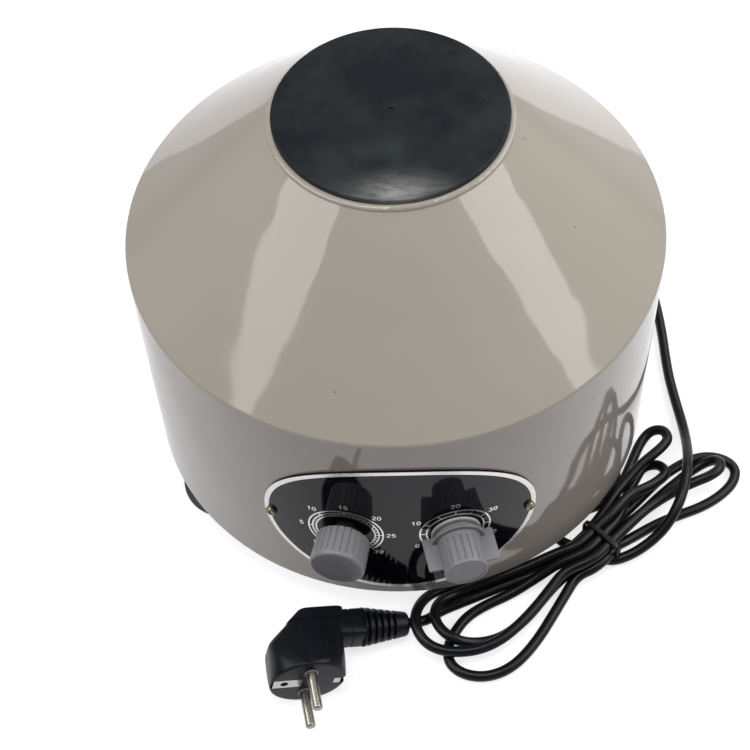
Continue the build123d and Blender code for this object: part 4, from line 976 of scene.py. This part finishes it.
def makeTie(s):
    line = superOutline(s["halfWide"], s["halfTall"], s["power"], 160)
    section = superOutline(s["width"] / 2, s["thickness"] / 2, s["sectionPower"], 20)
    loop = line[None] - section[:, 1][:, None, None] * inwardNormals(line)[None]
    turn = radians(cordSettings["tieAngle"])
    along, across = np.array([cos(turn), sin(turn)]), np.array([sin(turn), -cos(turn)])
    flat = (np.array(cordSettings["tieCentre"]) + (s["along"] + section[:, 0][:, None, None]) * along
            + loop[..., :1] * across)
    points = gridPoints(flat[..., 0], flat[..., 1], loop[..., 1] + s["middle"])
    shape = points, gridFaces(len(section), len(line), closeRows=True)
    tie = meshPiece("hank_tie", shape, "cordSheath", "casing")
    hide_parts("cord_tie")
    return tie


tie = makeTie(tieSettings)
plugPieces = makePlug(plugSettings)
print("plug made")


# which finish each carried node wears
nodeFinishes = {
    "casingPaint": ["housing_shell"],
    "lidPlastic": ["lid", "lid_tabs"],
    "panelGloss": ["panel_plate"],
    "blackPlastic": ["cord_tie", "board_components"],
    "plugPlastic": ["plug_body"],
    "softRubber": ["foot_front_left", "foot_front_right", "foot_rear", "rubber_dampers", "cable_bush",
        "sleeve_cushions"],
    "greyPlastic": ["timer_knob", "speed_knob"],
    "pinNickelPaintedShade": ["plug_pins"],
    "nickel": ["plug_earth_contacts", "control_nuts"],
    "screwMetal": ["panel_screws"],
    "zincSteel": ["base_plate", "base_screws", "foot_studs", "foot_nuts", "damper_bolts", "damper_nuts",
        "motor_plate", "motor_bolts", "motor_bearings", "brush_springs", "chamber_posts",
        "chamber_screws", "rotor_nut", "speed_potentiometer"],
    "turnedSteel": ["motor_shaft"],
    "castAluminium": ["motor_end_cap_lower", "motor_end_cap_upper", "rotor_head", "heatsink"],
    "satinAluminium": ["chamber_bowl"],
    "spunAluminium": ["tube_sleeve_%d" % (i + 1) for i in range(6)],
    "sheetIron": ["motor_stator", "armature_core"],
    "enamelledWire": ["motor_field_coils", "armature_windings", "commutator"],
    "brass": ["brush_holders", "timer_shaft", "speed_shaft"],
    "carbon": ["carbon_brushes"],
    "darkMoulding": ["timer_body", "cooling_fan", "terminal_block"],
    "circuitBoard": ["control_board"],
}
for finish, names in nodeFinishes.items():
    for name in names:
        nodes[name].data.materials.clear()
        nodes[name].data.materials.append(finishes[finish])
print("nodes finished")


# floor and lights; a softbox stands at an azimuth and an elevation from the casing, in degrees
stageSettings = {
    "floorSize": 5.0,
    "floorColour": (0.380, 0.380, 0.405),
    "floorGlow": (0.74, 1.0),
    "floorWhiteFrom": (0.6, 1.3),
    "floorRoughness": 0.6,
    "floorSpecular": 0.2,
    "sheet": {"halfWidth": 0.385, "start": 0.157, "opening": 0.525, "soft": 0.006, "levels": (0.68, 1.0),
              "levelReach": 0.3},
    "darkRoom": 0.2,
    "aim": (0.0, 0.0, 0.15),
    "softboxes": [
        # name, azimuth, elevation, distance, width, height, power
        ("left", -170.6, 43.5, 1.20, 1.21, 0.80, 10.0),
        ("right", 12.6, 41.0, 1.20, 1.68, 0.80, 15.6),
        ("over", -90.0, 86.0, 1.30, 0.70, 0.40, 7.8),
    ],
    "worldFill": 0.10,
    "worldColour": (0.97, 0.96, 1.08),
}


def seenRays(before):
    path = addNode(before, "LightPath", {}).outputs
    return calc("MAXIMUM", path["Is Camera Ray"], path["Is Transmission Ray"]), path["Is Glossy Ray"]


# What mirrors see is a white sheet, straight-sided near the object and opening with the distance
# behind it, and a dark room on both sides of it. The left of the sheet is less bright.
def sheetSeen(place, s, halfWidth, start):
    parts = addNode(place, "SeparateXYZ", {0: place}).outputs
    edge = calc("ADD", times(parts["Y"], s["opening"]), start)
    edge = calc("MAXIMUM", edge, halfWidth)
    within = calc("SUBTRACT", edge, calc("ABSOLUTE", parts["X"]))
    level = spread(parts["X"], *s["levels"], -s["levelReach"], s["levelReach"])
    return times(spread(within, 0.0, 1.0, -s["soft"], s["soft"]), level)


# The floor is a pale matt sheet; the eye and mirrors see a glow added to what falls on it, more of
# it farther out, so its open part is white and its shadows stay.
def makeFloor(s):
    half = s["floorSize"] / 2
    mesh = bpy.data.meshes.new("floor")
    corners = [(-half, -half, 0), (half, -half, 0), (half, half, 0), (-half, half, 0)]
    mesh.from_pydata(corners, [], [(0, 1, 2, 3)])
    floor = sceneObject("floor", mesh)
    material, shader, place = newMaterial("floor")
    glow = spread(vectorLength(place), *s["floorGlow"], *s["floorWhiteFrom"])
    seen, mirrored = seenRays(shader)
    sheet = sheetSeen(place, s["sheet"], s["sheet"]["halfWidth"], s["sheet"]["start"])
    part = calc("MAXIMUM", seen, times(mirrored, sheet))
    setSockets(shader, {
        "Base Color": (*s["floorColour"], 1.0), "Roughness": s["floorRoughness"],
        "Specular IOR Level": s["floorSpecular"], "Emission Color": (1.0, 1.0, 1.0, 1.0),
        "Emission Strength": times(part, glow)})
    mesh.materials.append(material)


def makeSoftboxes(s):
    for name, azimuth, elevation, distance, width, height, power in s["softboxes"]:
        az, el = radians(azimuth), radians(elevation)
        away = Vector((cos(el) * cos(az), cos(el) * sin(az), sin(el)))
        light = bpy.data.lights.new(name, "AREA")
        light.shape = "RECTANGLE"
        light.size, light.size_y = width, height
        light.energy = power
        lamp = sceneObject(name, light)
        lamp.location = Vector(s["aim"]) + distance * away
        lamp.rotation_euler = (-away).to_track_quat("-Z", "Y").to_euler()


def makeWorld(s):
    world = bpy.data.worlds.new("room")
    world.use_nodes = True
    back = world.node_tree.nodes["Background"]
    seen, mirrored = seenRays(back)
    either = calc("MAXIMUM", seen, mirrored)
    sheet = spread(sheetSeen(objectPlace(back), s["sheet"], 0.0, 0.0), s["darkRoom"], 1.0, 0.0, 1.0)
    fill = calc("MAXIMUM", seen, s["worldFill"])
    setSockets(back, {
        "Color": blendColour(either, s["worldColour"], (1.0, 1.0, 1.0)),
        "Strength": calc("MAXIMUM", fill, times(mirrored, sheet))})
    bpy.context.scene.world = world


makeFloor(stageSettings)
makeSoftboxes(stageSettings)
makeWorld(stageSettings)
bpy.context.scene.view_settings.view_transform = "Standard"
print("floor and lights placed")
